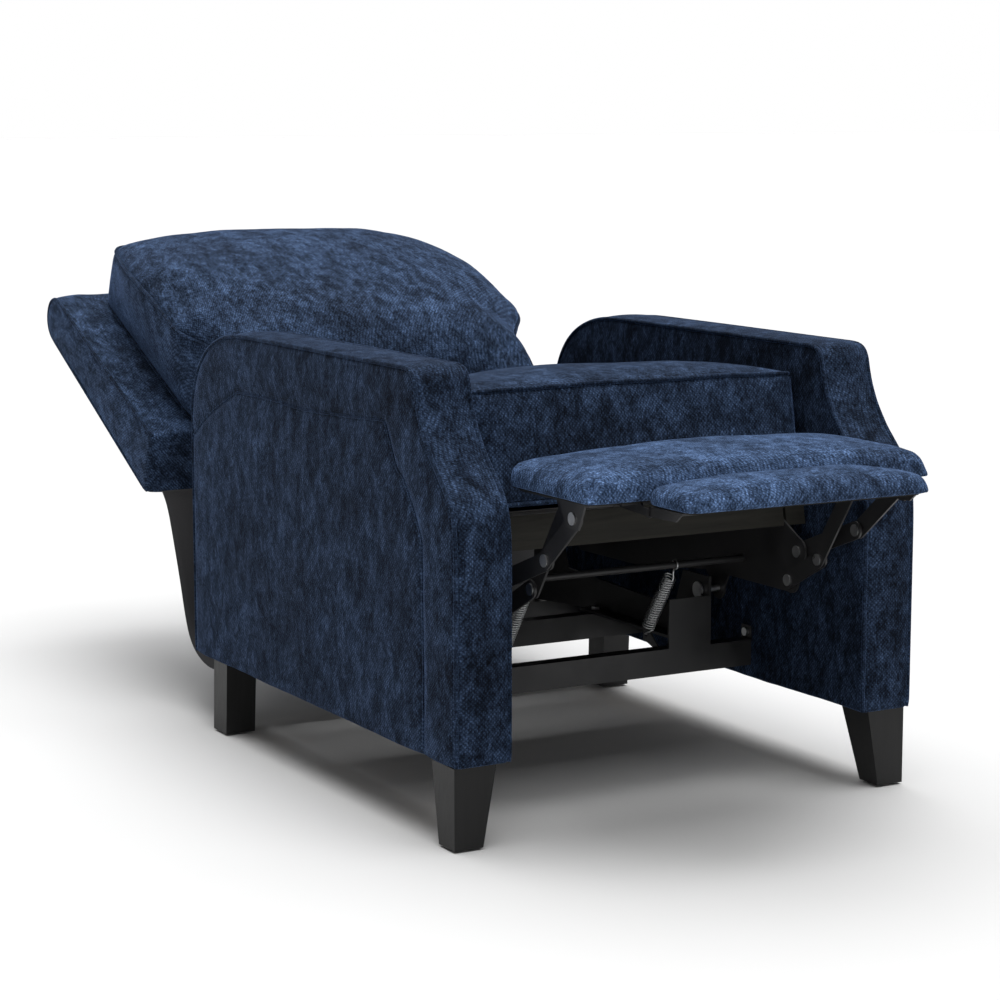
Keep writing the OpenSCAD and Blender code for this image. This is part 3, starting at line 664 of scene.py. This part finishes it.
def arm_edges():
    """Bottom, top, front and rear edges of an arm's side, in metres from its lower front corner."""
    parts = range(CURVE_STEPS + 1)
    split = [rear_curve(REAR_CURVE_SPLIT * i / CURVE_STEPS) for i in parts]
    rest = [rear_curve(REAR_CURVE_SPLIT + (1 - REAR_CURVE_SPLIT) * i / CURVE_STEPS) for i in parts]
    top_z = ARM_HEIGHT / MM
    front = ARM_FRONT_EDGE
    top = [front[-1], (122, top_z - 1.5), (136, top_z)] + [(x, top_z) for x in (300, 450)] + split
    rear = [(ARM_LENGTH / MM, 0)] + rest[::-1]
    bottom = [(0, 0), (ARM_LENGTH / MM, 0)]
    return [resample(np.array(e) * MM, 2 * MM) for e in (bottom, top, front, rear)]


def patch(edges, s, t):
    """Coons patch: the place inside four edges for s along and t up, both from 0 to 1."""
    def along(edge, u):
        at = np.linspace(0, 1, len(edge))
        return np.stack([np.interp(u, at, edge[:, i]) for i in (0, 1)], axis=1)

    bottom, top, front, rear = edges
    s1, t1 = s[:, None], t[:, None]
    ruled = (1 - t1) * along(bottom, s) + t1 * along(top, s)
    ruled = ruled + (1 - s1) * along(front, t) + s1 * along(rear, t)
    corners = (1 - s1) * (1 - t1) * bottom[0] + s1 * (1 - t1) * bottom[-1]
    return ruled - corners - (1 - s1) * t1 * top[0] - s1 * t1 * top[-1]


# Seam of the outer panel's border, in mm from the lower front corner of the arm
BORDER_SEAM = [(86, 10), (87, 150), (87, 274), (92, 284), (106, 307), (124, 330), (140, 350), (154, 354),
               (176, 391), (189, 415), (300, 409), (432, 404), (560, 408), (655, 407), (732, 376), (781, 351),
               (816, 328)]


def arm_cover(side):
    """Padded arm with a sewn border on its outer side and piping round both sides. side is -1 for the
    left arm and 1 for the right."""
    word = "left" if side < 0 else "right"
    half = ARM_T / 2
    low, high = (-half, 0.0, 0.0), (half, ARM_LENGTH, ARM_HEIGHT)
    block = Block(*(grid_lines(a, b, ARM_EDGE_R, ARM_STEP) for a, b in zip(low, high)))
    p = round_edges(block.points, low, high, ARM_EDGE_R, ARM_EDGE_R)
    edges = arm_edges()
    place = patch(edges, p[:, 1] / ARM_LENGTH, p[:, 2] / ARM_HEIGHT)
    center = side * (abs(arm_low.x) - half)
    points = np.stack([center + side * p[:, 0], ARM_FRONT + place[:, 0], ARM_BOTTOM + place[:, 1]], axis=1)
    faces = block.faces if side > 0 else [f[::-1] for f in block.faces]
    obj = mesh_object(f"{word}_arm_velvet", points, faces, material=fabric)
    edge_paths = {}
    for i_end in (0, -1):
        ids = block.side_edge(i_end, ("front", "top", "rear"))
        edge_paths[i_end] = positions(obj)[ids]
    subdivide(obj)
    p = positions(obj)
    n = normals(obj)
    flank = np.clip((np.abs(n[:, 0]) - 0.6) / 0.35, 0, 1)
    outer = np.sign(n[:, 0]) == side
    flat_p = p[:, 1:]
    outline = np.concatenate([edges[2], edges[1][1:], edges[3][::-1][1:]]) + (ARM_FRONT, ARM_BOTTOM)
    border = resample(np.array(BORDER_SEAM, dtype=float) * MM, 6 * MM)
    border = border + (ARM_FRONT, ARM_BOTTOM)
    near = path_distance(flat_p, outline)
    near_seam = path_distance(flat_p, border)
    to_seam = np.where(outer, np.minimum(near, near_seam), near)
    puff = np.where(outer, PANEL_PUFF, INNER_PUFF) * (1 - np.exp(-to_seam / (22 * MM)))
    groove = np.where(outer, 1.2 * MM * np.exp(-((near_seam / (6 * MM)) ** 2)), 0)
    groove += 1.6 * MM * np.exp(-((near / (5 * MM)) ** 2))
    across = (p[:, 0] - center) / half
    strip = (1 - flank) * np.clip(1 - across ** 2, 0, 1) * STRIP_PUFF
    strip *= np.clip((p[:, 2] - ARM_BOTTOM) / (40 * MM), 0, 1)
    uneven = ripple(p, 0.11, 1.6 * MM, 3 + side) + ripple(p, 0.035, 0.5 * MM, 9 + side)
    move = flank * (puff - groove) + strip + uneven * np.clip(near / (40 * MM), 0, 1)
    set_positions(obj, p + n * move[:, None])
    soft_piece(obj, "base", (f"{word}_arm_cover",))
    surface = BVHTree.FromObject(obj, bpy.context.evaluated_depsgraph_get())
    line = [surface.find_nearest(Vector((side * abs(arm_low.x), y, z)))[0] for y, z in border]
    cord = tube(f"{word}_arm_border_edge", smooth_path(line, 1), SEAM_R, IDENTITY, fabric_piping, sides=6)
    soft_piece(cord, "base")
    for i_end, path in edge_paths.items():
        out = np.array([side * (1 if i_end else -1), 0, 0])
        mid_path = path.mean(axis=0)
        away = path - mid_path
        away[:, 0] = 0
        away /= np.linalg.norm(away, axis=1, keepdims=True)
        line = smooth_path(resample(path + (0.8 * out + 0.6 * away) * MM, 5 * MM), 3)
        edge = "outer" if i_end else "inner"
        cord = tube(f"{word}_arm_piping_{edge}", line, PIPING_R, IDENTITY, fabric_piping)
        soft_piece(cord, "base")


for side in (-1, 1):
    arm_cover(side)

# ---------------------------------------------------------------- seat cushion

SEAT_HALF = 264 * MM
SEAT_LENGTH = 530 * MM
SEAT_T = 154 * MM
SEAT_RAKE = 14 * MM
SEAT_CROWN = 38 * MM
SEAT_REAR_DROP = 10 * MM
WELT_R = 7 * MM
PIPING_OUT = 1.5 * MM
WRINKLE_SHARE = 0.8


def piped(obj, ids, name, axes, body, sink):
    """Adds piping along a closed loop of points of obj, a little outside it and moved along z by sink."""
    path = positions(obj)[ids]
    away = path - path.mean(axis=0)
    away[:, 2] = 0
    away /= np.maximum(np.linalg.norm(away, axis=1, keepdims=True), 1e-9)
    line = path + away * PIPING_OUT
    line[:, 2] += sink
    line = smooth_path(resample(np.vstack([line, line[:1]]), 6 * MM)[:-1], 3, closed=True)
    cord = tube(name, line, PIPING_R, axes, fabric_piping, closed=True)
    soft_piece(cord, body)


def finish_cushion(obj, block, axes, body, wrinkles, flat_height, fade_height, seam, pipings):
    """Subdivides a boxed cushion, wrinkles its upper part, and sews and pipes its upper and lower welt.
    wrinkles are (size, height, seed). They start at flat_height and are full fade_height above it.
    seam is (depth, width), pipings are (name, sink)."""
    rings = (block.ring(-1), block.ring(0))
    subdivide(obj)
    p = positions(obj)
    move = sum(ripple(p, *wrinkle) for wrinkle in wrinkles)
    upper = np.clip((p[:, 2] - flat_height) / fade_height, 0, 1)
    set_positions(obj, p + normals(obj) * (move * upper * WRINKLE_SHARE)[:, None])
    for ids in rings:
        loop = positions(obj)[ids]
        sew(obj, np.vstack([loop, loop[:1]]), *seam)
    for ids, (name, sink) in zip(rings, pipings):
        piped(obj, ids, name, axes, body, sink)


def seat_cushion():
    """Boxed cushion. Its sides and rear stay flat, so that it passes the arms and the back as it tilts."""
    low = (-SEAT_HALF, 0.0, 1 * MM)
    high = (SEAT_HALF, SEAT_LENGTH, SEAT_T - 2 * MM)
    block = Block(*(grid_lines(a, b, WELT_R, 11 * MM) for a, b in zip(low, high)))
    p = round_edges(block.points, low, high, WELT_R, WELT_R)
    p = round_corners(p, low, high, 26 * MM, 34 * MM)
    p = swell(p, low, high, crown=SEAT_CROWN, sides=2 * MM, power=2.6, fullness=0.6)
    p[:, 2] -= SEAT_REAR_DROP * rise(p[:, 1], 0.4, 0.52) * np.clip(p[:, 2] / SEAT_T, 0, 1) ** 2
    rake = np.clip((p[:, 1] - 0.7 * SEAT_LENGTH) / (0.3 * SEAT_LENGTH), 0, 1)
    p[:, 1] += SEAT_RAKE * rake * p[:, 2] / SEAT_T
    obj = mesh_object("seat_cushion_velvet", p, block.faces, seat_axes, fabric_seat)
    inflate(obj, base_points(block, low) + block.ring(-1), cap=9 * MM)
    puffed = positions(obj)
    puffed[:, 0] = p[:, 0]
    puffed[:, 1] = np.minimum(puffed[:, 1], np.maximum(p[:, 1], 0.5 * SEAT_LENGTH))
    set_positions(obj, puffed)
    finish_cushion(obj, block, seat_axes, "seat", ((0.12, 3.2 * MM, 21), (0.04, 0.8 * MM, 22)),
                   0.3 * SEAT_T, 0.5 * SEAT_T, (2.0 * MM, 7 * MM),
                   (("seat_piping_top", 1 * MM), ("seat_piping_low", -1 * MM)))
    soft_piece(obj, "seat", ("seat_cushion",))


seat_cushion()

# ---------------------------------------------------------------- back

BACK_HALF = 268 * MM
BACK_LOW = -255 * MM
BACK_HIGH = 442 * MM
BACK_T = 98 * MM
# Crown of the face over its welts, rise of the welts, flare of the sides above the arms and their
# drawing in between the arms
BACK_CROWN = 78 * MM
BACK_LIFT = 42 * MM
BACK_FLARE = 40 * MM
BETWEEN_ARMS = 8 * MM
OUTER_HALF = 345 * MM
OUTER_LENGTH = 448 * MM
OUTER_TOP_T = 70 * MM
OUTER_BOTTOM_T = 96 * MM
OUTER_FOOT_SET = 12 * MM
OUTER_EDGE_R = 8 * MM
# Thickness of the block that the slab's surface is laid out on
OUTER_GRID_T = 110 * MM


def back_cushion():
    """Boxed cushion, full above the arms. Below, it is narrow and flat to pass the arms and the seat."""
    low = (-BACK_HALF, BACK_LOW, 1 * MM)
    high = (BACK_HALF, BACK_HIGH, BACK_T - 2 * MM)
    block = Block(*(grid_lines(a, b, WELT_R, 12 * MM) for a, b in zip(low, high)))
    p = round_edges(block.points, low, high, WELT_R, WELT_R)
    p = round_corners(p, low, high, 40 * MM, 30 * MM)
    p = swell(p, low, high, crown=0, sides=2 * MM)
    up = p[:, 1]
    level = np.clip(p[:, 2] / BACK_T, 0, 1)
    middle = (BACK_LOW + BACK_HIGH) / 2
    crown = dome(p[:, 0] / BACK_HALF, (up - middle) / (BACK_HIGH - middle), 3.0, 0.45)
    crown *= BACK_CROWN * rise(up, -0.2, -0.03)
    lift = BACK_LIFT * rise(up, -0.17, -0.04) * rise(-up, -0.46, -0.15)
    above_arms = rise(up, -0.02, 0.07)
    flare = BACK_FLARE * above_arms * rise(-up, -0.46, -0.2) * level - BETWEEN_ARMS * (1 - above_arms)
    p[:, 0] *= 1 + flare / BACK_HALF
    p[:, 2] += lift * level + crown * level ** 2
    obj = mesh_object("back_cushion_velvet", p, block.faces, back_axes, fabric_along)
    inflate(obj, base_points(block, low) + block.ring(-1), cap=12 * MM)
    puff = positions(obj) - p
    puff[:, 0] *= above_arms
    puff[:, 1:] *= rise(up, -0.18, -0.06)[:, None]
    set_positions(obj, p + puff)
    finish_cushion(obj, block, back_axes, "back", ((0.15, 5 * MM, 41), (0.05, 1.4 * MM, 42)),
                   0.5 * BACK_T, 0.5 * BACK_T, (2.2 * MM, 8 * MM),
                   (("back_piping_front", 1 * MM), ("back_piping_rear", 0)))
    soft_piece(obj, "back", ("back_cushion",))


back_cushion()


def outer_back():
    """The padded slab behind the cushion, with a rolled top end."""
    r = OUTER_TOP_T / 2
    arc = [(OUTER_LENGTH + r * math.cos(a), -r + r * math.sin(a))
           for a in (math.radians(-92 + 182 * i / 24) for i in range(25))]
    foot = (-OUTER_FOOT_SET, -OUTER_BOTTOM_T)
    rear = [foot, arc[0]]
    front = [(0, 0), arc[-1]]
    end = [foot, (0, 0)]
    edges = [resample(np.array(e), 3 * MM) for e in (rear, front, end, arc)]
    low, high = (-OUTER_HALF, 0.0, 0.0), (OUTER_HALF, OUTER_LENGTH, OUTER_GRID_T)
    block = Block(*(grid_lines(a, b, OUTER_EDGE_R, 9 * MM) for a, b in zip(low, high)))
    p = round_edges(block.points, low, high, OUTER_EDGE_R, OUTER_EDGE_R)
    place = patch(edges, p[:, 1] / OUTER_LENGTH, p[:, 2] / OUTER_GRID_T)
    points = np.stack([p[:, 0], place[:, 0], place[:, 1]], axis=1)
    obj = mesh_object("outer_back_velvet", points, block.faces, back_axes, fabric_along)
    edge_paths = {i: positions(obj)[block.side_edge(i, ("top", "rear", "bottom"))] for i in (0, -1)}
    subdivide(obj)
    p = positions(obj)
    n = normals(obj)
    seams = [np.array([[s * BACK_HALF, -0.02, 0], [s * BACK_HALF, BACK_HIGH, 0]]) for s in (-1, 1)]
    near = np.min([path_distance(p, s) for s in seams + list(edge_paths.values())], axis=0)
    front_face = np.clip((n[:, 2] - 0.5) / 0.4, 0, 1)
    puff = 6 * MM * (1 - np.exp(-near / (24 * MM)))
    uneven = ripple(p, 0.13, 3 * MM, 51) + ripple(p, 0.05, 0.8 * MM, 52)
    set_positions(obj, p + n * (puff * (0.5 + 0.5 * front_face) + uneven * 0.7)[:, None])
    soft_piece(obj, "back", ("back_cover",))
    for i, path in edge_paths.items():
        out = np.array([1 if i else -1, 0, 0]) * MM
        line = smooth_path(resample(path + out, 6 * MM), 3)
        word = "right" if i else "left"
        cord = tube(f"outer_back_piping_{word}", line, PIPING_R, back_axes, fabric_piping)
        soft_piece(cord, "back")


outer_back()

# ---------------------------------------------------------------- footrest pads

# Radius of a pad's front corners at its lower edge, as a part of the radius at its top
POINTED = 0.25


def wrapped_pad(name, nodes, body, corner_r, top_r, crown, seed, depth):
    """A pad pulled over its board, with a dart at each front corner."""
    low_w, high_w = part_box(nodes[0])
    low = (low_w[0], low_w[1], low_w[2] + 1.5 * MM)
    high = (high_w[0], high_w[1], high_w[2] - crown * 0.75)
    origin = Vector((0, (low[1] + high[1]) / 2, low[2]))
    axes = Matrix.Translation(origin)
    low = tuple(a - b for a, b in zip(low, origin))
    high = tuple(a - b for a, b in zip(high, origin))
    block = Block(grid_lines(low[0], high[0], top_r * 0.6, 8 * MM),
                  grid_lines(low[1], high[1], top_r * 0.5, 7 * MM),
                  grid_lines(low[2], high[2], 5 * MM, 6 * MM))
    mid_z = (low[2] + high[2]) / 2
    p = round_edges(block.points, low, high, min(5 * MM, top_r), min(top_r, high[2] - mid_z))
    height = np.clip((p[:, 2] - low[2]) / (high[2] - low[2]), 0, 1)
    p = round_corners(p, low, high, corner_r * (POINTED + (1 - POINTED) * height), 12 * MM)
    p = swell(p, low, high, crown=crown, sides=2 * MM, power=2.2)
    # The pad takes the lit copy of the velvet: painted light on its top.
    obj = mesh_object(name, p, block.faces, axes, fabric_painted_lit)
    inflate(obj, base_points(block, low), cap=depth, pressure=2.5, frames=12)
    subdivide(obj)
    p = positions(obj)
    move = ripple(p, 0.09, 2.4 * MM, seed) + ripple(p, 0.03, 0.7 * MM, seed + 1)
    move = move * np.clip(p[:, 2] / 0.03, 0, 1)
    set_positions(obj, p + normals(obj) * move[:, None])
    for s in (-1, 1):
        corner = np.array([s * (high[0] - corner_r * 0.3), low[1] + corner_r * 0.3, 0.0])
        top = corner + (-s * 16 * MM, 16 * MM, high[2])
        sew(obj, resample([corner, corner + (0, 0, 0.6 * high[2]), top], 3 * MM), 2.4 * MM, 5 * MM)
    soft_piece(obj, body, nodes)


wrapped_pad("footrest_velvet", ("footrest_pad",), "footrest", 34 * MM, 18 * MM, 21 * MM, 61, 4 * MM)
wrapped_pad("flipper_velvet", ("flipper_pad",), "flipper", 28 * MM, 12 * MM, 14 * MM, 71, 3 * MM)

# ---------------------------------------------------------------- thin cloth

CLOTH_T = 0.8 * MM


def sheet_mesh(name, grid, thickness, axes, material):
    """A thin closed sheet over a grid of points, grid[row][column]."""
    rows, cols = len(grid), len(grid[0])
    top = np.array(grid, dtype=float).reshape(rows, cols, 3)
    du = np.gradient(top, axis=1)
    dv = np.gradient(top, axis=0)
    normal = np.cross(du, dv)
    normal /= np.linalg.norm(normal, axis=2, keepdims=True)
    low = top - thickness * normal
    points = np.concatenate([top.reshape(-1, 3), low.reshape(-1, 3)])
    n = rows * cols
    faces = []
    for r in range(rows - 1):
        for c in range(cols - 1):
            a = r * cols + c
            faces.append((a, a + 1, a + cols + 1, a + cols))
            faces.append((a + n, a + cols + n, a + cols + 1 + n, a + 1 + n))
    rim = [c for c in range(cols)] + [r * cols + cols - 1 for r in range(1, rows)]
    rim += [(rows - 1) * cols + c for c in range(cols - 2, -1, -1)]
    rim += [r * cols for r in range(rows - 2, 0, -1)]
    for a, b in zip(rim, rim[1:] + rim[:1]):
        faces.append((a, a + n, b + n, b))
    return mesh_object(name, points, faces, axes, material)


def hanging_cloth():
    """Dust cloth from the foot of the outer back down and under to the rear rail."""
    half = 322 * MM
    high_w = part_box("dust_cloth")[1]
    # From the outer back's lower end, forward and down, then under to the rear rail, in mm from the cloth's
    # rear upper corner
    fall = [(-2, 14), (-14, 6), (-26, -12), (-42, -48), (-60, -92), (-74, -130), (-84, -160), (-100, -196),
            (-122, -217), (-152, -229), (-186, -233), (-214, -229), (-238, -217), (-256, -205)]
    line = resample(smooth_path(resample(np.array(fall, dtype=float) * MM, 8 * MM), 4), 9 * MM)
    line = line + (high_w[1], high_w[2])
    across = np.linspace(-half, half, 60)
    rows = []
    for i, (y, z) in enumerate(line):
        t = i / (len(line) - 1)
        slack = math.sin(math.pi * t)
        row = []
        for x in across:
            wave = 5 * MM * noise.noise(Vector((x * 7, t * 3.5, 1.7)))
            fold = slack * (wave - 9 * MM * (1 - (x / half) ** 2))
            pull = 4 * MM * noise.noise(Vector((x * 22, t * 1.5, 8.1))) * (1 - slack)
            row.append((x, y + 0.6 * fold, z + 0.8 * fold + pull))
        rows.append(row)
    obj = sheet_mesh("hanging_dust_cloth", rows, CLOTH_T, IDENTITY, black_cloth)
    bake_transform(obj)
    soft_piece(obj, None, ("dust_cloth",))


hanging_cloth()


def stretched_cloth(name, node, axes, body, low, high, level, sag, seed):
    """Cloth pulled tight over a frame, a little slack in the middle."""
    xs = np.linspace(low[0], high[0], 40)
    ys = np.linspace(low[1], high[1], 36)
    rows = []
    for y in ys:
        b = (2 * y - low[1] - high[1]) / (high[1] - low[1])
        row = []
        for x in xs:
            a = x / high[0]
            dip = sag * (1 - a * a) * (1 - b * b)
            wave = 1.2 * MM * noise.noise(Vector((x * 14, y * 14, seed)))
            row.append((x, y, level - dip + wave))
        rows.append(row)
    obj = sheet_mesh(name, rows, CLOTH_T, axes, black_cloth)
    soft_piece(obj, body, (node,))


stretched_cloth("seat_deck_cloth", "seat_deck", seat_axes, "seat", (-264 * MM, 8 * MM),
                (264 * MM, 522 * MM), -4 * MM, 4 * MM, 3.3)
stretched_cloth("lower_back_cloth", "lower_back_panel", back_axes, "back", (-255 * MM, -239 * MM),
                (255 * MM, -17 * MM), -50.5 * MM, 3 * MM, 5.1)

# ---------------------------------------------------------------- steel springs

SPRING_X = 115 * MM
# Lower end of a spring, from the cross bar that its upper end hooks round
SPRING_FOOT = np.array([0, 77 * MM, -112 * MM])
SPRING_WIRE_R = 1.15 * MM
COIL_R = 9 * MM
COIL_TURNS = 22
TURN_POINTS = 14
HOOK_LENGTH = 16 * MM
HOOK_R = 6.6 * MM


def coil_spring(side):
    """Extension spring from a lug on the front rail up to the seat's cross bar."""
    bar_low, bar_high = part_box("spring_crossbar")
    bar = np.array([0, (bar_low[1] + bar_high[1]) / 2, (bar_low[2] + bar_high[2]) / 2])
    x = side * SPRING_X
    foot = bar + SPRING_FOOT
    along = bar - foot
    span = np.linalg.norm(along)
    along /= span
    across = np.cross((1, 0, 0), along)
    coil_len = span - HOOK_R - 2 * HOOK_LENGTH
    steps = COIL_TURNS * TURN_POINTS

    def place(d, r, angle):
        out = math.sin(angle) * np.array([1, 0, 0]) + math.cos(angle) * across
        return foot + d * along + np.array([x, 0, 0]) + r * out

    path = [foot + (x + side * 8 * MM, 0, 0), foot + (x + side * 3 * MM, 0, 0), place(2 * MM, 0.5 * MM, 0)]
    path += [place(HOOK_LENGTH * 0.5, 4 * MM, 0), place(HOOK_LENGTH * 0.85, COIL_R * 0.9, 0)]
    for i in range(steps + 1):
        path.append(place(HOOK_LENGTH + coil_len * i / steps, COIL_R, 2 * math.pi * i / TURN_POINTS))
    path.append(place(HOOK_LENGTH + coil_len + HOOK_LENGTH * 0.3, COIL_R * 0.8, 0))
    path.append(place(HOOK_LENGTH + coil_len + HOOK_LENGTH * 0.7, 3 * MM, 0))
    for i in range(13):
        angle = math.radians(10 + 24 * i)
        path.append(place(span - HOOK_R * math.cos(angle), HOOK_R * math.sin(angle), 0))
    word = "left" if side < 0 else "right"
    obj = tube(f"{word}_return_spring", path, SPRING_WIRE_R, IDENTITY, finishes["zinc_steel"], sides=7)
    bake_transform(obj)
    return obj


springs = [coil_spring(side) for side in (-1, 1)]
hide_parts("return_springs")

# ---------------------------------------------------------------- carried-over nodes

BEVELS = {"black_steel": 0.7 * MM, "zinc_steel": 0.5 * MM, "timber": 1.5 * MM, "black_lacquer": 1.6 * MM,
          "dark_board": 1.5 * MM, "black_plastic": 0.8 * MM}
NO_BEVEL = {"seat_springs"}
slots = {s["node"]: s["material_slot"] for s in frame["record"]["subparts"]}

for node_name, obj in frame["nodes"].items():
    finish = finishes[slots[node_name]]
    if not obj.material_slots:
        obj.data.materials.append(None)
    for material_slot in obj.material_slots:
        material_slot.link = "OBJECT"
        material_slot.material = finish
    width = BEVELS.get(slots[node_name])
    if width and node_name not in NO_BEVEL:
        bevel = obj.modifiers.new("Bevel", "BEVEL")
        bevel.width = width
        bevel.segments = 2
        bevel.limit_method = "ANGLE"
        bevel.angle_limit = math.radians(40)
        bevel.use_clamp_overlap = True

# ---------------------------------------------------------------- camera, light and floor

CAMERA_AT = Vector((-1.8527, -3.3786, 0.9236))
CAMERA_TURN = math.radians(-29.372)
CAMERA_DOWN = math.radians(8.5936)
CAMERA_LENS = 94.86
CAMERA_SENSOR = 36
FLOOR_HALF = 60
# Soft overhead light: name, where it shines from, softness in degrees, strength
SUNS = [("key", (0.05, -0.42, 1.3), 45, 2.4), ("top", (0.1, 0.35, 1.2), 60, 3.0)]


def studio():
    """Camera, a wide pale floor, a world that is white at the horizon, and the lights."""
    scene = bpy.context.scene
    data = bpy.data.cameras.new("camera")
    data.lens = CAMERA_LENS
    data.sensor_width = CAMERA_SENSOR
    camera = bpy.data.objects.new("camera", data)
    camera.location = CAMERA_AT
    camera.rotation_euler = (math.pi / 2 - CAMERA_DOWN, 0, CAMERA_TURN)
    scene.collection.objects.link(camera)
    scene.camera = camera
    scene.view_settings.view_transform = "Standard"

    corners = [(FLOOR_HALF * a, FLOOR_HALF * b, 0) for a, b in ((-1, -1), (1, -1), (1, 1), (-1, 1))]
    floor = mesh_object("studio_floor", corners, [(0, 1, 2, 3)])
    mat, add, link, shader = node_material("floor_paper")
    coords = add("ShaderNodeTexCoord").outputs["Object"]
    tone = add("ShaderNodeTexNoise", Scale=2.0, Detail=3.0)
    link(coords, tone.inputs["Vector"])
    link(mix(add, link, tone.outputs["Fac"], grey(0.55), grey(0.57)), shader.inputs["Base Color"])
    shader.inputs["Roughness"].default_value = 0.9
    floor.data.materials.append(mat)

    world = bpy.data.worlds.new("studio")
    scene.world = world
    world.use_nodes = True
    tree = world.node_tree
    direction = tree.nodes.new("ShaderNodeTexCoord")
    parts = tree.nodes.new("ShaderNodeSeparateXYZ")
    fade = tree.nodes.new("ShaderNodeValToRGB")
    fade.color_ramp.elements[0].position = 0.06
    fade.color_ramp.elements[1].position = 0.2
    fade.color_ramp.elements[0].color = grey(1)
    fade.color_ramp.elements[1].color = grey(0.22)
    tree.links.new(direction.outputs["Generated"], parts.inputs["Vector"])
    tree.links.new(parts.outputs["Z"], fade.inputs["Fac"])
    tree.links.new(fade.outputs["Color"], tree.nodes["Background"].inputs["Color"])

    for name, place, softness, strength in SUNS:
        light = bpy.data.lights.new(name, "SUN")
        light.angle = math.radians(softness)
        light.energy = strength
        lamp = bpy.data.objects.new(name, light)
        lamp.rotation_euler = Vector(place).to_track_quat("Z", "Y").to_euler()
        scene.collection.objects.link(lamp)


studio()
